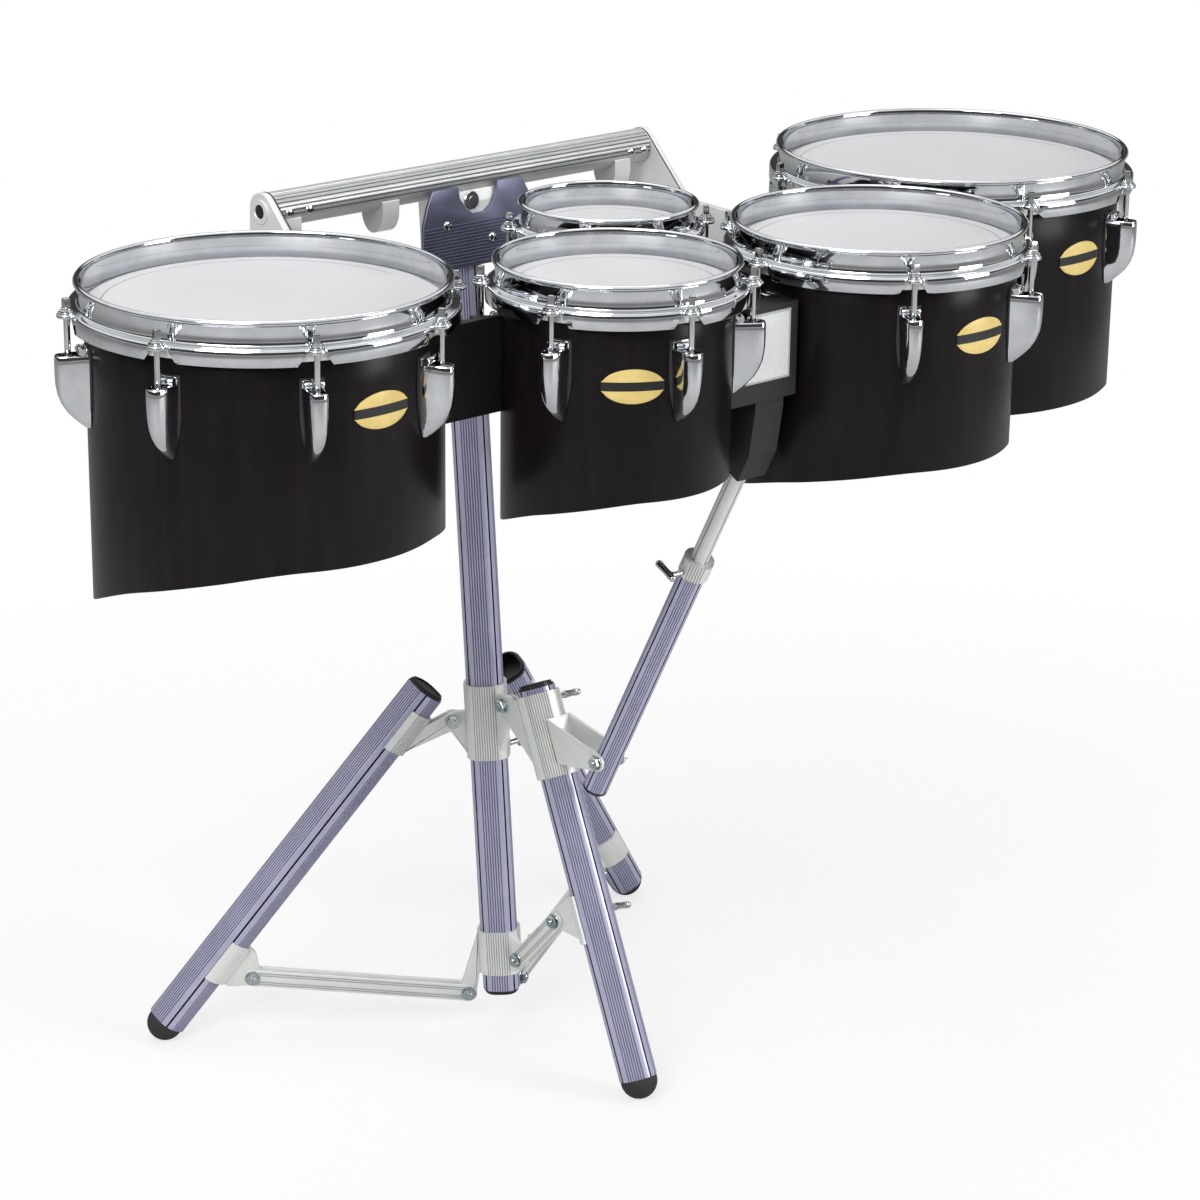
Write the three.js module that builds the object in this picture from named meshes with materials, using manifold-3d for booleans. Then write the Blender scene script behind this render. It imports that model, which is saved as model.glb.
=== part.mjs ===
import * as THREE from "three";
import { mergeVertices } from "three/addons/utils/BufferGeometryUtils.js";
import Module from "manifold-3d";

const wasm = await Module();
wasm.setup();

const degree = Math.PI / 180;

// Clearances, in millimetres like every length here.
const seatGap = 0.3;
const slideGap = 0.4;
const cutOverrun = 5;
const weldTolerance = 0.0001;

// Height of the drums' lips, and how the mast stands under them.
const lipHeight = 874.5;
const mastLeanShare = 0.0857;
const mastBaseBack = 66.8;
const mastBaseRise = 37.4;

// Shell diameters, and depths below the lip on the audience's side and on the player's side.
const diameter12 = 301.6;
const front12 = 215;
const back12 = 308;
const diameter8 = 200;
const front8 = 191;
const back8 = 250;
const diameter6 = 149.2;
const front6 = 172;
const back6 = 222;
const diameter10 = 250.8;
const front10 = 203;
const back10 = 262;
const diameter13 = 327;
const front13 = 232;
const back13 = 330;

// The 8 inch drum stands at a place from the mast and the rail, the others at gaps from their neighbours.
const across8 = -126.2;
const aheadOfRail8 = 366.9;
const gap12to8 = 54.36;
const gap8to10 = 59.16;
const gap10to13 = 44.63;
const gap6to8 = 41.5;
const gap6to10 = 48.92;
const turn12to8 = -27.287 * degree;
const turn8to10 = -7.39 * degree;
const turn10to13 = 31.951 * degree;

const shellWall = 6;
const bearingDrop = 22;
const bearingBevel = 4;
// How the shell's lower edge falls from the audience's side to the player's side.
const scoopAlongShares = [-1, -0.85, -0.6, -0.3, 0, 0.5, 1];
const scoopFallShares = [0, 0.01, 0.11, 0.24, 0.38, 0.69, 1];
const scoopSteps = 16;

// Hoop, measured out from the shell and down from the lip.
const hoopClear = 3;
const hoopWall = 2.3;
const lipRound = 3;
const flangeDrop = 22;
const flangeThick = 2.4;
const skirtOut = 12;
const skirtDrop = 37;
const rodOut = 17;
const rodRadius = 2.75;
const earRadius = 8.5;
const rodHeadRadius = 3.4;
const rodHeadDrop = 9;
const shoulderDrop = 17;

// Head film and the ring that carries it.
const filmThick = 0.9;
const headRingOut = 10.4;
const headRingThick = 9;
const headRingClear = 1.2;

// Tension lug.
const lugTopDrop = 50;
const lugHeight = 64;
const lugReach = 28;
const lugWidth = 19;
const lugOutlineShares = [
  [-0.04, 0], [0.28, 0], [0.36, -0.11], [0.9, -0.14], [1, -0.22], [1, -0.56], [0.45, -0.91], [0.14, -1], [-0.04, -1],
];

// Black channel boxes between the shells. Aside and behind are from the middle of the gap they fill.
const channelTopDrop = 50;
const channelHeight = 85;
const channelWall = 3;
const spineLeftWide = 86;
const spineLeftLong = 65;
const spineLeftAside = -5.8;
const spineLeftBehind = 29.1;
const labelBoxWide = 86;
const labelBoxLong = 97;
const labelBoxAside = -19.3;
const labelBoxBehind = -1.9;
const spineRightWide = 98;
const spineRightLong = 110;
const spineRightAside = -10.3;
const spineRightBehind = 13.3;
const centreSpineWide = 162;
const centreSpineLong = 72.4;
const centreSpineAside = 28;
const lugPocketGap = 1.2;

// Rail, its end plates, plugs, shoes and arms.
const railOffMast = -2.12;
const railDrop = 12.5;
const railRadius = 16.5;
const railBore = 13.5;
const railRibs = 14;
const railRibDepth = 0.8;
const endPlateThick = 6;
const endPlateRim = 0.8;
const endPlateReach = 62;
const endPlateFall = 72;
const endPlateBackFall = 50;
const plugRadius = 10;
const plugEye = 6.5;
const plugProud = 2;
const plugGrip = 10;
const shoeWidth = 20;
const shoeDepth = 32;
const shoeDrop = 26;
const shoeAlongShares = [-0.922, -0.426, 0.835];
const armLeftClear = 2.6;
const armRightClear = 24.4;
const armTopDrop = 52;
const armHeight = 36;
const armThick = 6;
const armFall = 6;

// Stand, in the mast's own frame.
const tubeWidth = 33;
const tubeCorner = 8;
const tubeWall = 2.4;
const grooveDepth = 1.1;
const grooveWidth = 2.2;
const grooveOffShare = 0.62;
const mastBottom = 8;
const mastTopDrop = 83.4;
const sleeveWall = 2.6;
const wrapRise = 1.5;
const hubBottom = 252;
const hubHeight = 76;
const collarBottom = 26;
const collarHeight = 45;
const wingThick = 6;
const cheekThick = 3;
const pivotBoltRadius = 3.4;
const pivotNutRadius = 6.4;
const pivotNutThick = 5;
const pivotRadius = 34;
const eyeRadius = 9;
const capThick = 5;
const capPlug = 10;
const footRadius = 17;
const footSink = 0.8;
const braceWidth = 17;
const braceThick = 4;
const braceLugRadius = 34;

// The two rear legs share their hinges. A leg's axis lies out from its hinge, and its bracket up from its foot.
const rearPivotUp = 39;
const rearAxisOut = 40;
const rearCapReach = 8;
const rearSleeveFrom = 12;
const rearSleeveLength = 46;
const rearBracketIn = 1;
const rearBracketLength = 46;
const rearCollarDrop = 21;
const leftFootReach = 339.7;
const leftBracketUp = 92;
const backFootReach = 362.4;
const backBracketUp = 92.4;

// The near leg slides in its sleeve.
const nearPivotUp = 59;
const nearAxisOut = 50;
const nearCapReach = 10;
const nearSleeveAbove = 5;
const nearSleeveLength = 82;
const nearBracketIn = 8;
const nearBracketLength = 48;
const nearCollarRise = 20;
const nearFootReach = 203.2;
const nearBracketUp = 167.9;

// Hook plate, and the saddle that joins it to the mast.
const hookBack = 22;
const hookThick = 4;
const hookRise = 1;
const hookHeight = 77;
const hookAside = 6;
const hookHalfWidth = 72;
const hookOutlineShares = [
  [-1, 0], [1, 0], [0.95, 0.58], [0.86, 0.82], [0.76, 1], [0.33, 1], [0.31, 0.86], [0.22, 0.72], [0.1, 0.65],
  [-0.1, 0.65], [-0.22, 0.72], [-0.31, 0.86], [-0.33, 1], [-0.76, 1], [-0.86, 0.82], [-0.95, 0.58],
];
const saddleWidth = 64;
const saddleBack = 20;
const saddlePlug = 40;

// Prop strut. Its pivot is set from the near leg's sleeve, and its tip from the box that it carries.
const strutPivotAlong = 70.4;
const strutPivotRise = 60.6;
const strutTail = 36;
const strutShown = 154;
const strutInside = 100;
const strutOuterWidth = 24;
const strutCorner = 7;
const strutWall = 2.2;
const strutInnerWidth = 16;
const strutInnerCorner = 3.5;
const strutCollarLength = 26;
const strutCollarWall = 3.4;
const strutCheek = 3;
const elbowWidth = 34;
const elbowBody = 30;
const elbowGrip = 40;
const elbowHeight = 45.5;
const elbowAhead = 22.7;

// Clamp levers.
const leverScrewRadius = 3;
const leverScrewLength = 15;
const leverRadius = 3.4;
const leverLength = 27;

const coatings = {
  shell: { color: 0x1a1517, roughness: 0.45, metalness: 0 },
  chrome: { color: 0xd6dade, roughness: 0.1, metalness: 1 },
  film: { color: 0xd9d9d9, roughness: 0.5, metalness: 0 },
  black: { color: 0x1b1a1c, roughness: 0.55, metalness: 0 },
  silver: { color: 0xc9cac8, roughness: 0.35, metalness: 0.9 },
  lilac: { color: 0x7c7a94, roughness: 0.35, metalness: 0.8 },
  rubber: { color: 0x2b2929, roughness: 0.8, metalness: 0 },
};

// A closed geometry as a solid, with its faces turned out.
function solid(geometry) {
  const loose = geometry.index ? geometry.toNonIndexed() : geometry;
  const bare = new THREE.BufferGeometry();
  bare.setAttribute("position", loose.getAttribute("position").clone());
  const merged = mergeVertices(bare, weldTolerance);
  const from = merged.index.array;
  const corners = [];
  for (let i = 0; i < from.length; i += 3) {
    const [a, b, c] = [from[i], from[i + 1], from[i + 2]];
    if (a !== b && b !== c && a !== c) corners.push(a, b, c);
  }
  const build = (list) =>
    new wasm.Manifold(
      new wasm.Mesh({
        numProp: 3,
        vertProperties: new Float32Array(merged.attributes.position.array),
        triVerts: new Uint32Array(list),
      }),
    );
  const made = build(corners);
  if (made.volume() >= 0) return made;
  const turned = [];
  for (let i = 0; i < corners.length; i += 3) turned.push(corners[i], corners[i + 2], corners[i + 1]);
  return build(turned);
}

function geometryOf(body) {
  const mesh = body.getMesh();
  const places = new Float32Array(mesh.numVert * 3);
  for (let i = 0; i < mesh.numVert; i++) {
    for (let k = 0; k < 3; k++) places[i * 3 + k] = mesh.vertProperties[i * mesh.numProp + k];
  }
  const geometry = new THREE.BufferGeometry();
  geometry.setAttribute("position", new THREE.BufferAttribute(places, 3));
  geometry.setIndex(new THREE.BufferAttribute(new Uint32Array(mesh.triVerts), 1));
  geometry.computeVertexNormals();
  return geometry;
}

const join = (list) => list.reduce((a, b) => a.add(b));
const cut = (body, list) => list.reduce((a, b) => a.subtract(b), body);

// Moves a solid by a three.js matrix.
const place = (body, matrix) => body.transform([...matrix.elements]);
const shift = (x, y, z) => new THREE.Matrix4().makeTranslation(x, y, z);
const turnX = (a) => new THREE.Matrix4().makeRotationX(a);
const turnY = (a) => new THREE.Matrix4().makeRotationY(a);
const turnZ = (a) => new THREE.Matrix4().makeRotationZ(a);

// Prisms from an outline: along Z, along X with the outline in Y and Z, along Y with it in X and Z.
const swapped = new THREE.Matrix4().set(0, 0, 1, 0, 1, 0, 0, 0, 0, 1, 0, 0, 0, 0, 0, 1);
function prismZ(points, depth, hole) {
  const shape = new THREE.Shape(points.map(([x, y]) => new THREE.Vector2(x, y)));
  if (hole) shape.holes.push(new THREE.Path(hole.map(([x, y]) => new THREE.Vector2(x, y))));
  return solid(new THREE.ExtrudeGeometry(shape, { depth, bevelEnabled: false }));
}
const prismX = (points, length, hole) => place(prismZ(points, length, hole), swapped);
const prismY = (points, thick) => place(place(prismZ(points, thick), turnX(Math.PI / 2)), shift(0, thick / 2, 0));
const box = (w, d, h) => solid(new THREE.BoxGeometry(w, d, h));

// Rods: along Z, and along Y as every hinge is.
const rod = (radius, length, sides = 10) =>
  place(solid(new THREE.CylinderGeometry(radius, radius, length, sides)), turnX(Math.PI / 2));
const pin = (radius, length, sides = 10) => solid(new THREE.CylinderGeometry(radius, radius, length, sides));

function spin(points, sides) {
  const geometry = new THREE.LatheGeometry(points.map(([r, z]) => new THREE.Vector2(r, z)), sides);
  geometry.rotateX(Math.PI / 2);
  return solid(geometry);
}
function disc(radius, sides) {
  const list = [];
  for (let i = 0; i < sides; i++) {
    const a = (i / sides) * 2 * Math.PI;
    list.push([radius * Math.cos(a), radius * Math.sin(a)]);
  }
  return list;
}

// Rounded square, with two grooves in each face when a groove depth is given.
function squareSection(width, corner, groove, steps = 2) {
  const half = width / 2;
  const list = [];
  for (let side = 0; side < 4; side++) {
    const a = (side * Math.PI) / 2;
    const turn = ([u, v]) => [u * Math.cos(a) - v * Math.sin(a), u * Math.sin(a) + v * Math.cos(a)];
    if (groove) {
      const reach = (half - corner) * grooveOffShare;
      for (const off of [-reach, reach]) {
        list.push(turn([half, off - grooveWidth / 2]));
        list.push(turn([half - groove, off]));
        list.push(turn([half, off + grooveWidth / 2]));
      }
    }
    for (let i = 0; i <= steps; i++) {
      const b = (i / steps) * (Math.PI / 2);
      list.push(turn([half - corner + corner * Math.cos(b), half - corner + corner * Math.sin(b)]));
    }
  }
  return list;
}

// A frame inside another one, with its place and turns, and a mesh that stands in a frame.
function frameIn(parent, position, rotation = [0, 0, 0]) {
  const frame = new THREE.Group();
  frame.position.set(...position);
  frame.rotation.set(...rotation);
  parent.add(frame);
  frame.updateWorldMatrix(true, false);
  return frame;
}
function addMesh(parent, name, body, coating) {
  const mesh = new THREE.Mesh(geometryOf(body), new THREE.MeshStandardMaterial(coatings[coating]));
  mesh.name = name;
  parent.add(mesh);
}
const between = (from, to) => to.matrixWorld.clone().invert().multiply(from.matrixWorld);

const root = new THREE.Group();

// The rail lies on top of the leaning mast, a little off its axis.
const lean = Math.asin(mastLeanShare);
const railHeight = lipHeight - railDrop;
const railUpMast = (railHeight - mastBaseRise + railOffMast * Math.sin(lean)) / Math.cos(lean);
const railAhead = railOffMast * Math.cos(lean) + railUpMast * Math.sin(lean) - mastBaseBack;

// Drums: where each one stands.
const drum = (name, diameter, front, back, lugs, firstLug, facets) =>
  ({ name, radius: diameter / 2, front, back, lugs, firstLug, facets });
const drum12 = drum("drum_12", diameter12, front12, back12, 8, 22.5 * degree, 30);
const drum8 = drum("drum_8", diameter8, front8, back8, 6, 20 * degree, 24);
const drum6 = drum("drum_6", diameter6, front6, back6, 6, 30 * degree, 20);
const drum10 = drum("drum_10", diameter10, front10, back10, 6, 57 * degree, 28);
const drum13 = drum("drum_13", diameter13, front13, back13, 8, 22.5 * degree, 30);
const drums = [drum12, drum8, drum6, drum10, drum13];

const stepTo = (from, to, gap, turn, sign) => {
  const far = from.radius + to.radius + gap;
  to.centre = from.centre.clone().add(new THREE.Vector2(Math.cos(turn), Math.sin(turn)).multiplyScalar(sign * far));
};
drum8.centre = new THREE.Vector2(across8, railAhead - aheadOfRail8);
stepTo(drum8, drum12, gap12to8, turn12to8, -1);
stepTo(drum8, drum10, gap8to10, turn8to10, 1);
stepTo(drum10, drum13, gap10to13, turn10to13, 1);
{
  const far8 = drum8.radius + drum6.radius + gap6to8;
  const far10 = drum10.radius + drum6.radius + gap6to10;
  const base = drum10.centre.clone().sub(drum8.centre);
  const long = base.length();
  const along = (far8 * far8 - far10 * far10 + long * long) / (2 * long);
  const off = Math.sqrt(far8 * far8 - along * along);
  base.divideScalar(long);
  drum6.centre = drum8.centre.clone().add(
    new THREE.Vector2(base.x * along - base.y * off, base.y * along + base.x * off));
}
// The middle of the gap between two neighbours.
function gapMiddle(a, b) {
  const way = b.centre.clone().sub(a.centre);
  const open = way.length() - a.radius - b.radius;
  return a.centre.clone().add(way.setLength(a.radius + open / 2));
}

function curveThrough(alongShares, fallShares, steps) {
  const points = alongShares.map((share, i) => new THREE.Vector2(share, fallShares[i]));
  return new THREE.SplineCurve(points).getPoints(steps);
}

// A lug on the shell, and the pocket that a box between the shells leaves for it.
function lugBody(radius) {
  const points = lugOutlineShares.map(([u, v]) => [u * lugReach, v * lugHeight]);
  return place(prismY(points, lugWidth), shift(radius, 0, -lugTopDrop));
}
function lugPocket(radius) {
  const deep = lugReach + lugPocketGap + cutOverrun;
  const pocket = box(deep, lugWidth + lugPocketGap * 2, lugHeight + lugPocketGap * 2);
  return place(pocket, shift(radius - cutOverrun + deep / 2, 0, -lugTopDrop - lugHeight / 2));
}
const lugAngles = (d) => Array.from({ length: d.lugs }, (_, i) => d.firstLug + (i / d.lugs) * 2 * Math.PI);

function addDrum(d) {
  const radius = d.radius;
  const frame = frameIn(root, [d.centre.x, d.centre.y, lipHeight]);
  d.frame = frame;

  // Shell: a wall with a bearing edge, cut below along a curve that falls towards the player.
  const edge = bearingDrop + filmThick + seatGap;
  const deep = Math.max(d.front, d.back) + cutOverrun;
  const wall = spin(
    [
      [radius - shellWall, -deep], [radius, -deep], [radius, -edge - bearingBevel / 2],
      [radius - bearingBevel / 2, -edge], [radius - shellWall, -edge - bearingBevel], [radius - shellWall, -deep],
    ],
    d.facets,
  );
  const fall = curveThrough(scoopAlongShares, scoopFallShares, scoopSteps)
    .map((p) => [p.x * radius, -d.front - p.y * (d.back - d.front)]);
  const last = fall[fall.length - 1];
  const below = [
    ...fall, [last[0] + cutOverrun, last[1]], [last[0] + cutOverrun, -deep - cutOverrun],
    [-radius - cutOverrun, -deep - cutOverrun], [-radius - cutOverrun, fall[0][1]],
  ];
  const wide = radius * 2 + cutOverrun;
  const scoop = place(prismX(below, wide), shift(-wide / 2, 0, 0));
  const lugs = lugAngles(d).map((a) => place(lugBody(radius), turnZ(a)));
  addMesh(frame, d.name + "_shell", join([cut(wall, [scoop]), ...lugs]), "shell");

  // Head: film over the bearing edge, down outside the shell to its ring under the hoop's flange.
  const filmEdge = radius - bearingBevel / 2;
  const collar = radius + headRingClear;
  const ring = radius + headRingOut;
  const ringTop = flangeDrop + flangeThick + seatGap;
  const head = spin(
    [
      [0, -bearingDrop - filmThick], [filmEdge, -bearingDrop - filmThick], [collar, -ringTop],
      [collar, -ringTop - headRingThick], [ring, -ringTop - headRingThick], [ring, -ringTop],
      [radius + hoopClear - seatGap, -ringTop], [filmEdge, -bearingDrop], [0, -bearingDrop],
    ],
    d.facets,
  );
  addMesh(frame, d.name + "_head", head, "film");

  // Hoop: a beaded band, a flange that presses the head's ring and a skirt with an ear at each rod.
  const inner = radius + hoopClear;
  const outer = inner + hoopWall;
  const skirtInner = radius + skirtOut;
  const skirtOuter = skirtInner + hoopWall;
  const hoop = spin(
    [
      [inner, 0], [inner, -flangeDrop - flangeThick], [skirtInner, -flangeDrop - flangeThick],
      [skirtInner, -skirtDrop], [skirtOuter, -skirtDrop], [skirtOuter, -flangeDrop], [outer, -flangeDrop],
      [outer, -lipRound * 2], [outer + lipRound, -lipRound], [outer, 0], [inner, 0],
    ],
    d.facets,
  );
  const rodEnd = lugTopDrop - lugOutlineShares[2][1] * lugHeight - seatGap;
  const tie = spin(
    [
      [0, -rodEnd], [rodRadius, -rodEnd], [rodRadius, -skirtDrop], [earRadius, -skirtDrop],
      [earRadius, -flangeDrop], [rodHeadRadius, -shoulderDrop], [rodHeadRadius, -rodHeadDrop], [0, -rodHeadDrop],
    ],
    6,
  );
  const boreHeight = headRingThick + cutOverrun;
  const bore = place(rod(skirtInner, boreHeight, d.facets), shift(0, 0, -ringTop + seatGap / 2 - boreHeight / 2));
  const ties = lugAngles(d).map((a) => place(place(tie, shift(radius + rodOut, 0, 0)), turnZ(a)).subtract(bore));
  addMesh(frame, d.name + "_hoop", join([hoop, ...ties]), "chrome");
}
drums.forEach(addDrum);

// What a channel box leaves free: each shell and each lug.
const keepOut = drums.flatMap((d) => {
  const tall = channelTopDrop + channelHeight + cutOverrun;
  const here = shift(d.centre.x, d.centre.y, lipHeight);
  const core = place(rod(d.radius + seatGap, tall, d.facets), shift(0, 0, -tall / 2));
  const pockets = lugAngles(d).map((a) => place(lugPocket(d.radius), turnZ(a)));
  return [core, ...pockets].map((body) => place(body, here));
});

// A box between two shells: its middle, its size and the faces that other pieces meet.
function channelAt(name, middle, wide, long) {
  const top = lipHeight - channelTopDrop;
  const spot = shift(middle.x, middle.y, top - channelHeight / 2);
  const whole = place(box(wide, long, channelHeight), spot);
  const inside = box(wide + cutOverrun, long - channelWall * 2, channelHeight);
  const hollow = place(place(inside, shift(0, 0, -channelWall)), spot);
  const bodies = cut(whole, [hollow, ...keepOut]).decompose().sort((p, q) => q.volume() - p.volume());
  const frame = frameIn(root, [middle.x, middle.y, top]);
  addMesh(frame, name, place(bodies[0], shift(-middle.x, -middle.y, -top)), "black");
  return { middle, left: middle.x - wide / 2, right: middle.x + wide / 2, front: middle.y - long / 2,
    back: middle.y + long / 2 };
}
const offset = (point, aside, behind) => point.clone().add(new THREE.Vector2(aside, behind));
const spineLeft = channelAt("spine_left", offset(gapMiddle(drum12, drum8), spineLeftAside, spineLeftBehind),
  spineLeftWide, spineLeftLong);
const labelBox = channelAt("label_box", offset(gapMiddle(drum8, drum10), labelBoxAside, labelBoxBehind),
  labelBoxWide, labelBoxLong);
const spineRight = channelAt("spine_right", offset(gapMiddle(drum10, drum13), spineRightAside, spineRightBehind),
  spineRightWide, spineRightLong);
channelAt("centre_spine",
  new THREE.Vector2(labelBox.middle.x + centreSpineAside, labelBox.back + seatGap + centreSpineLong / 2),
  centreSpineWide, centreSpineLong);

// Rail: it ends beside the lugs of the two largest drums.
const lugSide = (d) => (d.radius + lugReach) * Math.cos(d.firstLug) + (lugWidth / 2) * Math.sin(d.firstLug);
const railStart = drum12.centre.x + lugSide(drum12) + armLeftClear;
const railEnd = drum13.centre.x - lugSide(drum13) - armRightClear;
const railLength = railEnd - railStart;
const railFrame = frameIn(root, [(railStart + railEnd) / 2, railAhead, railHeight]);

const ribbed = [];
for (let i = 0; i < railRibs * 2; i++) {
  const a = (i / railRibs) * Math.PI;
  const r = i % 2 ? railRadius - railRibDepth : railRadius;
  ribbed.push([r * Math.cos(a), r * Math.sin(a)]);
}
const railBodies = [place(prismX(ribbed, railLength, disc(railBore, 14)), shift(-railLength / 2, 0, 0))];
const shoeSeat = railRadius - railRibDepth * 2;
const shoeOutline = [];
for (let i = 0; i <= 4; i++) {
  const a = Math.PI * (1.12 + (i / 4) * 0.76);
  shoeOutline.push([shoeSeat * Math.cos(a), shoeSeat * Math.sin(a)]);
}
shoeOutline.push([shoeDepth / 2, -shoeSeat / 2]);
for (let i = 0; i <= 6; i++) {
  const a = -(i / 6) * Math.PI;
  shoeOutline.push([(shoeDepth / 2) * Math.cos(a), -railRadius + (shoeDrop - railRadius / 4) * Math.sin(a)]);
}
shoeOutline.push([-shoeDepth / 2, -shoeSeat / 2]);
for (const share of shoeAlongShares) {
  railBodies.push(place(prismX(shoeOutline, shoeWidth), shift((share * railLength - shoeWidth) / 2, 0, 0)));
}
addMesh(railFrame, "rail", join(railBodies), "silver");

// End plates, rubber plugs and arms, mirrored to the rail's two ends.
const plateRim = railRadius + endPlateRim;
const plateOutline = [];
for (let i = 0; i <= 6; i++) {
  const a = (i / 6) * Math.PI * 0.75;
  plateOutline.push([plateRim * Math.cos(a), plateRim * Math.sin(a)]);
}
plateOutline.push(
  [-endPlateReach, plateRim * Math.SQRT2 - endPlateReach],
  [-endPlateReach, -endPlateFall],
  [plateRim, -endPlateBackFall],
);
const plate = prismX(plateOutline, endPlateThick, disc(plugRadius + seatGap, 14));
const plugLength = plugProud + endPlateThick + plugGrip;
const plug = spin(
  [
    [plugEye, 0], [plugRadius, 0], [plugRadius, plugProud + endPlateThick + seatGap * 2],
    [railBore - slideGap, plugProud + endPlateThick + seatGap * 2], [railBore - slideGap, plugLength],
    [0, plugLength], [0, plugProud], [plugEye, plugProud], [plugEye, 0],
  ],
  14,
);
const railFront = railAhead - railRadius;
for (const side of [-1, 1]) {
  const word = side < 0 ? "left" : "right";
  const spine = side < 0 ? spineLeft : spineRight;
  const face = side * (railLength / 2 + seatGap);
  addMesh(frameIn(railFrame, [side < 0 ? face - endPlateThick : face, 0, 0]), "rail_end_" + word, plate, "silver");
  addMesh(frameIn(railFrame, [face + side * (endPlateThick + plugProud), 0, 0], [0, (-side * Math.PI) / 2, 0]),
    "rail_plug_" + word, plug, "rubber");

  const armFrom = spine.back + seatGap;
  const arm = [
    [armFrom, -armTopDrop - armFall], [railFront - railRadius, -armTopDrop], [railFront, -armTopDrop - armFall],
    [railFront, -armTopDrop - armHeight], [armFrom, -armTopDrop - armFall - armHeight],
  ];
  const armLeft = side < 0 ? railStart : railEnd - armThick;
  addMesh(frameIn(root, [armLeft, 0, lipHeight]), "arm_" + word, prismX(arm, armThick), "silver");
}

// Stand: the mast's frame leans towards the player.
const stand = frameIn(root, [0, -mastBaseBack, mastBaseRise], [-lean, 0, 0]);
const tubeOuter = squareSection(tubeWidth, tubeCorner, grooveDepth);
const tubeInner = squareSection(tubeWidth - tubeWall * 2, tubeCorner - tubeWall, 0);
const tubePlug = squareSection(tubeWidth - tubeWall * 2 - seatGap * 2, tubeCorner - tubeWall, 0, 1);
const tubeLid = squareSection(tubeWidth, tubeCorner, 0);
const sleeveBore = squareSection(tubeWidth + seatGap * 2, tubeCorner, 0);
const sleeveOuter = squareSection(tubeWidth + seatGap * 2 + sleeveWall * 2, tubeCorner + sleeveWall, 0);
const sleeveHalf = tubeWidth / 2 + seatGap + sleeveWall;

const railInStand = new THREE.Vector3(0, 0, 0).applyMatrix4(between(railFrame, stand));
const mastTop = railInStand.z - mastTopDrop;
addMesh(frameIn(stand, [0, 0, mastBottom]), "mast", prismZ(tubeOuter, mastTop - mastBottom, tubeInner), "lilac");
const capBody = join([
  place(prismZ(tubePlug, capPlug + seatGap), shift(0, 0, -seatGap)),
  place(prismZ(tubeLid, capThick), shift(0, 0, -capThick - seatGap + weldTolerance)),
]);
addMesh(frameIn(stand, [0, 0, mastBottom]), "mast_cap", capBody, "black");

// A thin plate in the leg's plane with a round eye at each listed point.
const linkPlate = (points, radius, thick, sides = 12) =>
  wasm.Manifold.hull(points.map(([x, z]) => place(pin(radius, thick, sides), shift(x, 0, z))));
function pivotBolt(x, z, halfSpan) {
  const shaft = pin(pivotBoltRadius, halfSpan * 2, 8);
  const ends = [-1, 1].map((s) =>
    place(pin(pivotNutRadius, pivotNutThick, 6), shift(0, s * (halfSpan + pivotNutThick / 2 - weldTolerance), 0)));
  return place(join([shaft, ...ends]), shift(x, 0, z));
}
const pinHole = (x, z) => place(pin(pivotBoltRadius + seatGap, tubeWidth * 3, 12), shift(x, 0, z));

const wingHalf = wingThick / 2;
const cheekInner = wingHalf + slideGap;
const cheekOuter = cheekInner + cheekThick;
const wingFoot = sleeveHalf - (sleeveWall + eyeRadius) / 2;
const hubParts = [place(prismZ(sleeveOuter, hubHeight, sleeveBore), shift(0, 0, hubBottom))];
const collarParts = [place(prismZ(sleeveOuter, collarHeight, sleeveBore), shift(0, 0, collarBottom))];

const rearLeg = {
  pivotHeight: hubBottom + rearPivotUp, axisOut: rearAxisOut, capReach: rearCapReach, sleeveFrom: rearSleeveFrom,
  sleeveLength: rearSleeveLength, wrap: wrapRise, bracketIn: rearBracketIn, bracketLength: rearBracketLength,
  lugHeight: collarBottom - rearCollarDrop,
};
const legs = [
  { ...rearLeg, name: "left", azimuth: 144 * degree, footReach: leftFootReach, bracketUp: leftBracketUp },
  {
    name: "near", azimuth: 270 * degree, pivotHeight: hubBottom + nearPivotUp, axisOut: nearAxisOut,
    capReach: nearCapReach, sleeveFrom: -nearSleeveAbove, sleeveLength: nearSleeveLength,
    wrap: sleeveHalf + seatGap, bracketIn: nearBracketIn, bracketLength: nearBracketLength,
    lugHeight: collarBottom + nearCollarRise, footReach: nearFootReach, bracketUp: nearBracketUp,
  },
  { ...rearLeg, name: "back", azimuth: 28 * degree, footReach: backFootReach, bracketUp: backBracketUp },
];

// The foot stands on the floor, which sets the leg's angle at its hinge.
function standLeg(leg) {
  const footBack = leg.footReach * Math.sin(leg.azimuth);
  const footHeight = (footRadius - footSink - mastBaseRise + footBack * Math.sin(lean)) / Math.cos(lean);
  const reach = leg.footReach - pivotRadius;
  const drop = leg.pivotHeight - footHeight;
  const span = Math.hypot(reach, drop);
  leg.pitch = Math.atan2(drop, reach) + Math.asin(leg.axisOut / span);
  leg.along = Math.sqrt(span * span - leg.axisOut * leg.axisOut);
  leg.bracketAlong = leg.along - leg.bracketUp;
  leg.plane = frameIn(stand, [0, 0, 0], [0, 0, leg.azimuth]);
  leg.frame = frameIn(leg.plane, [pivotRadius, 0, leg.pivotHeight], [0, leg.pitch, 0]);
}

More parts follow.
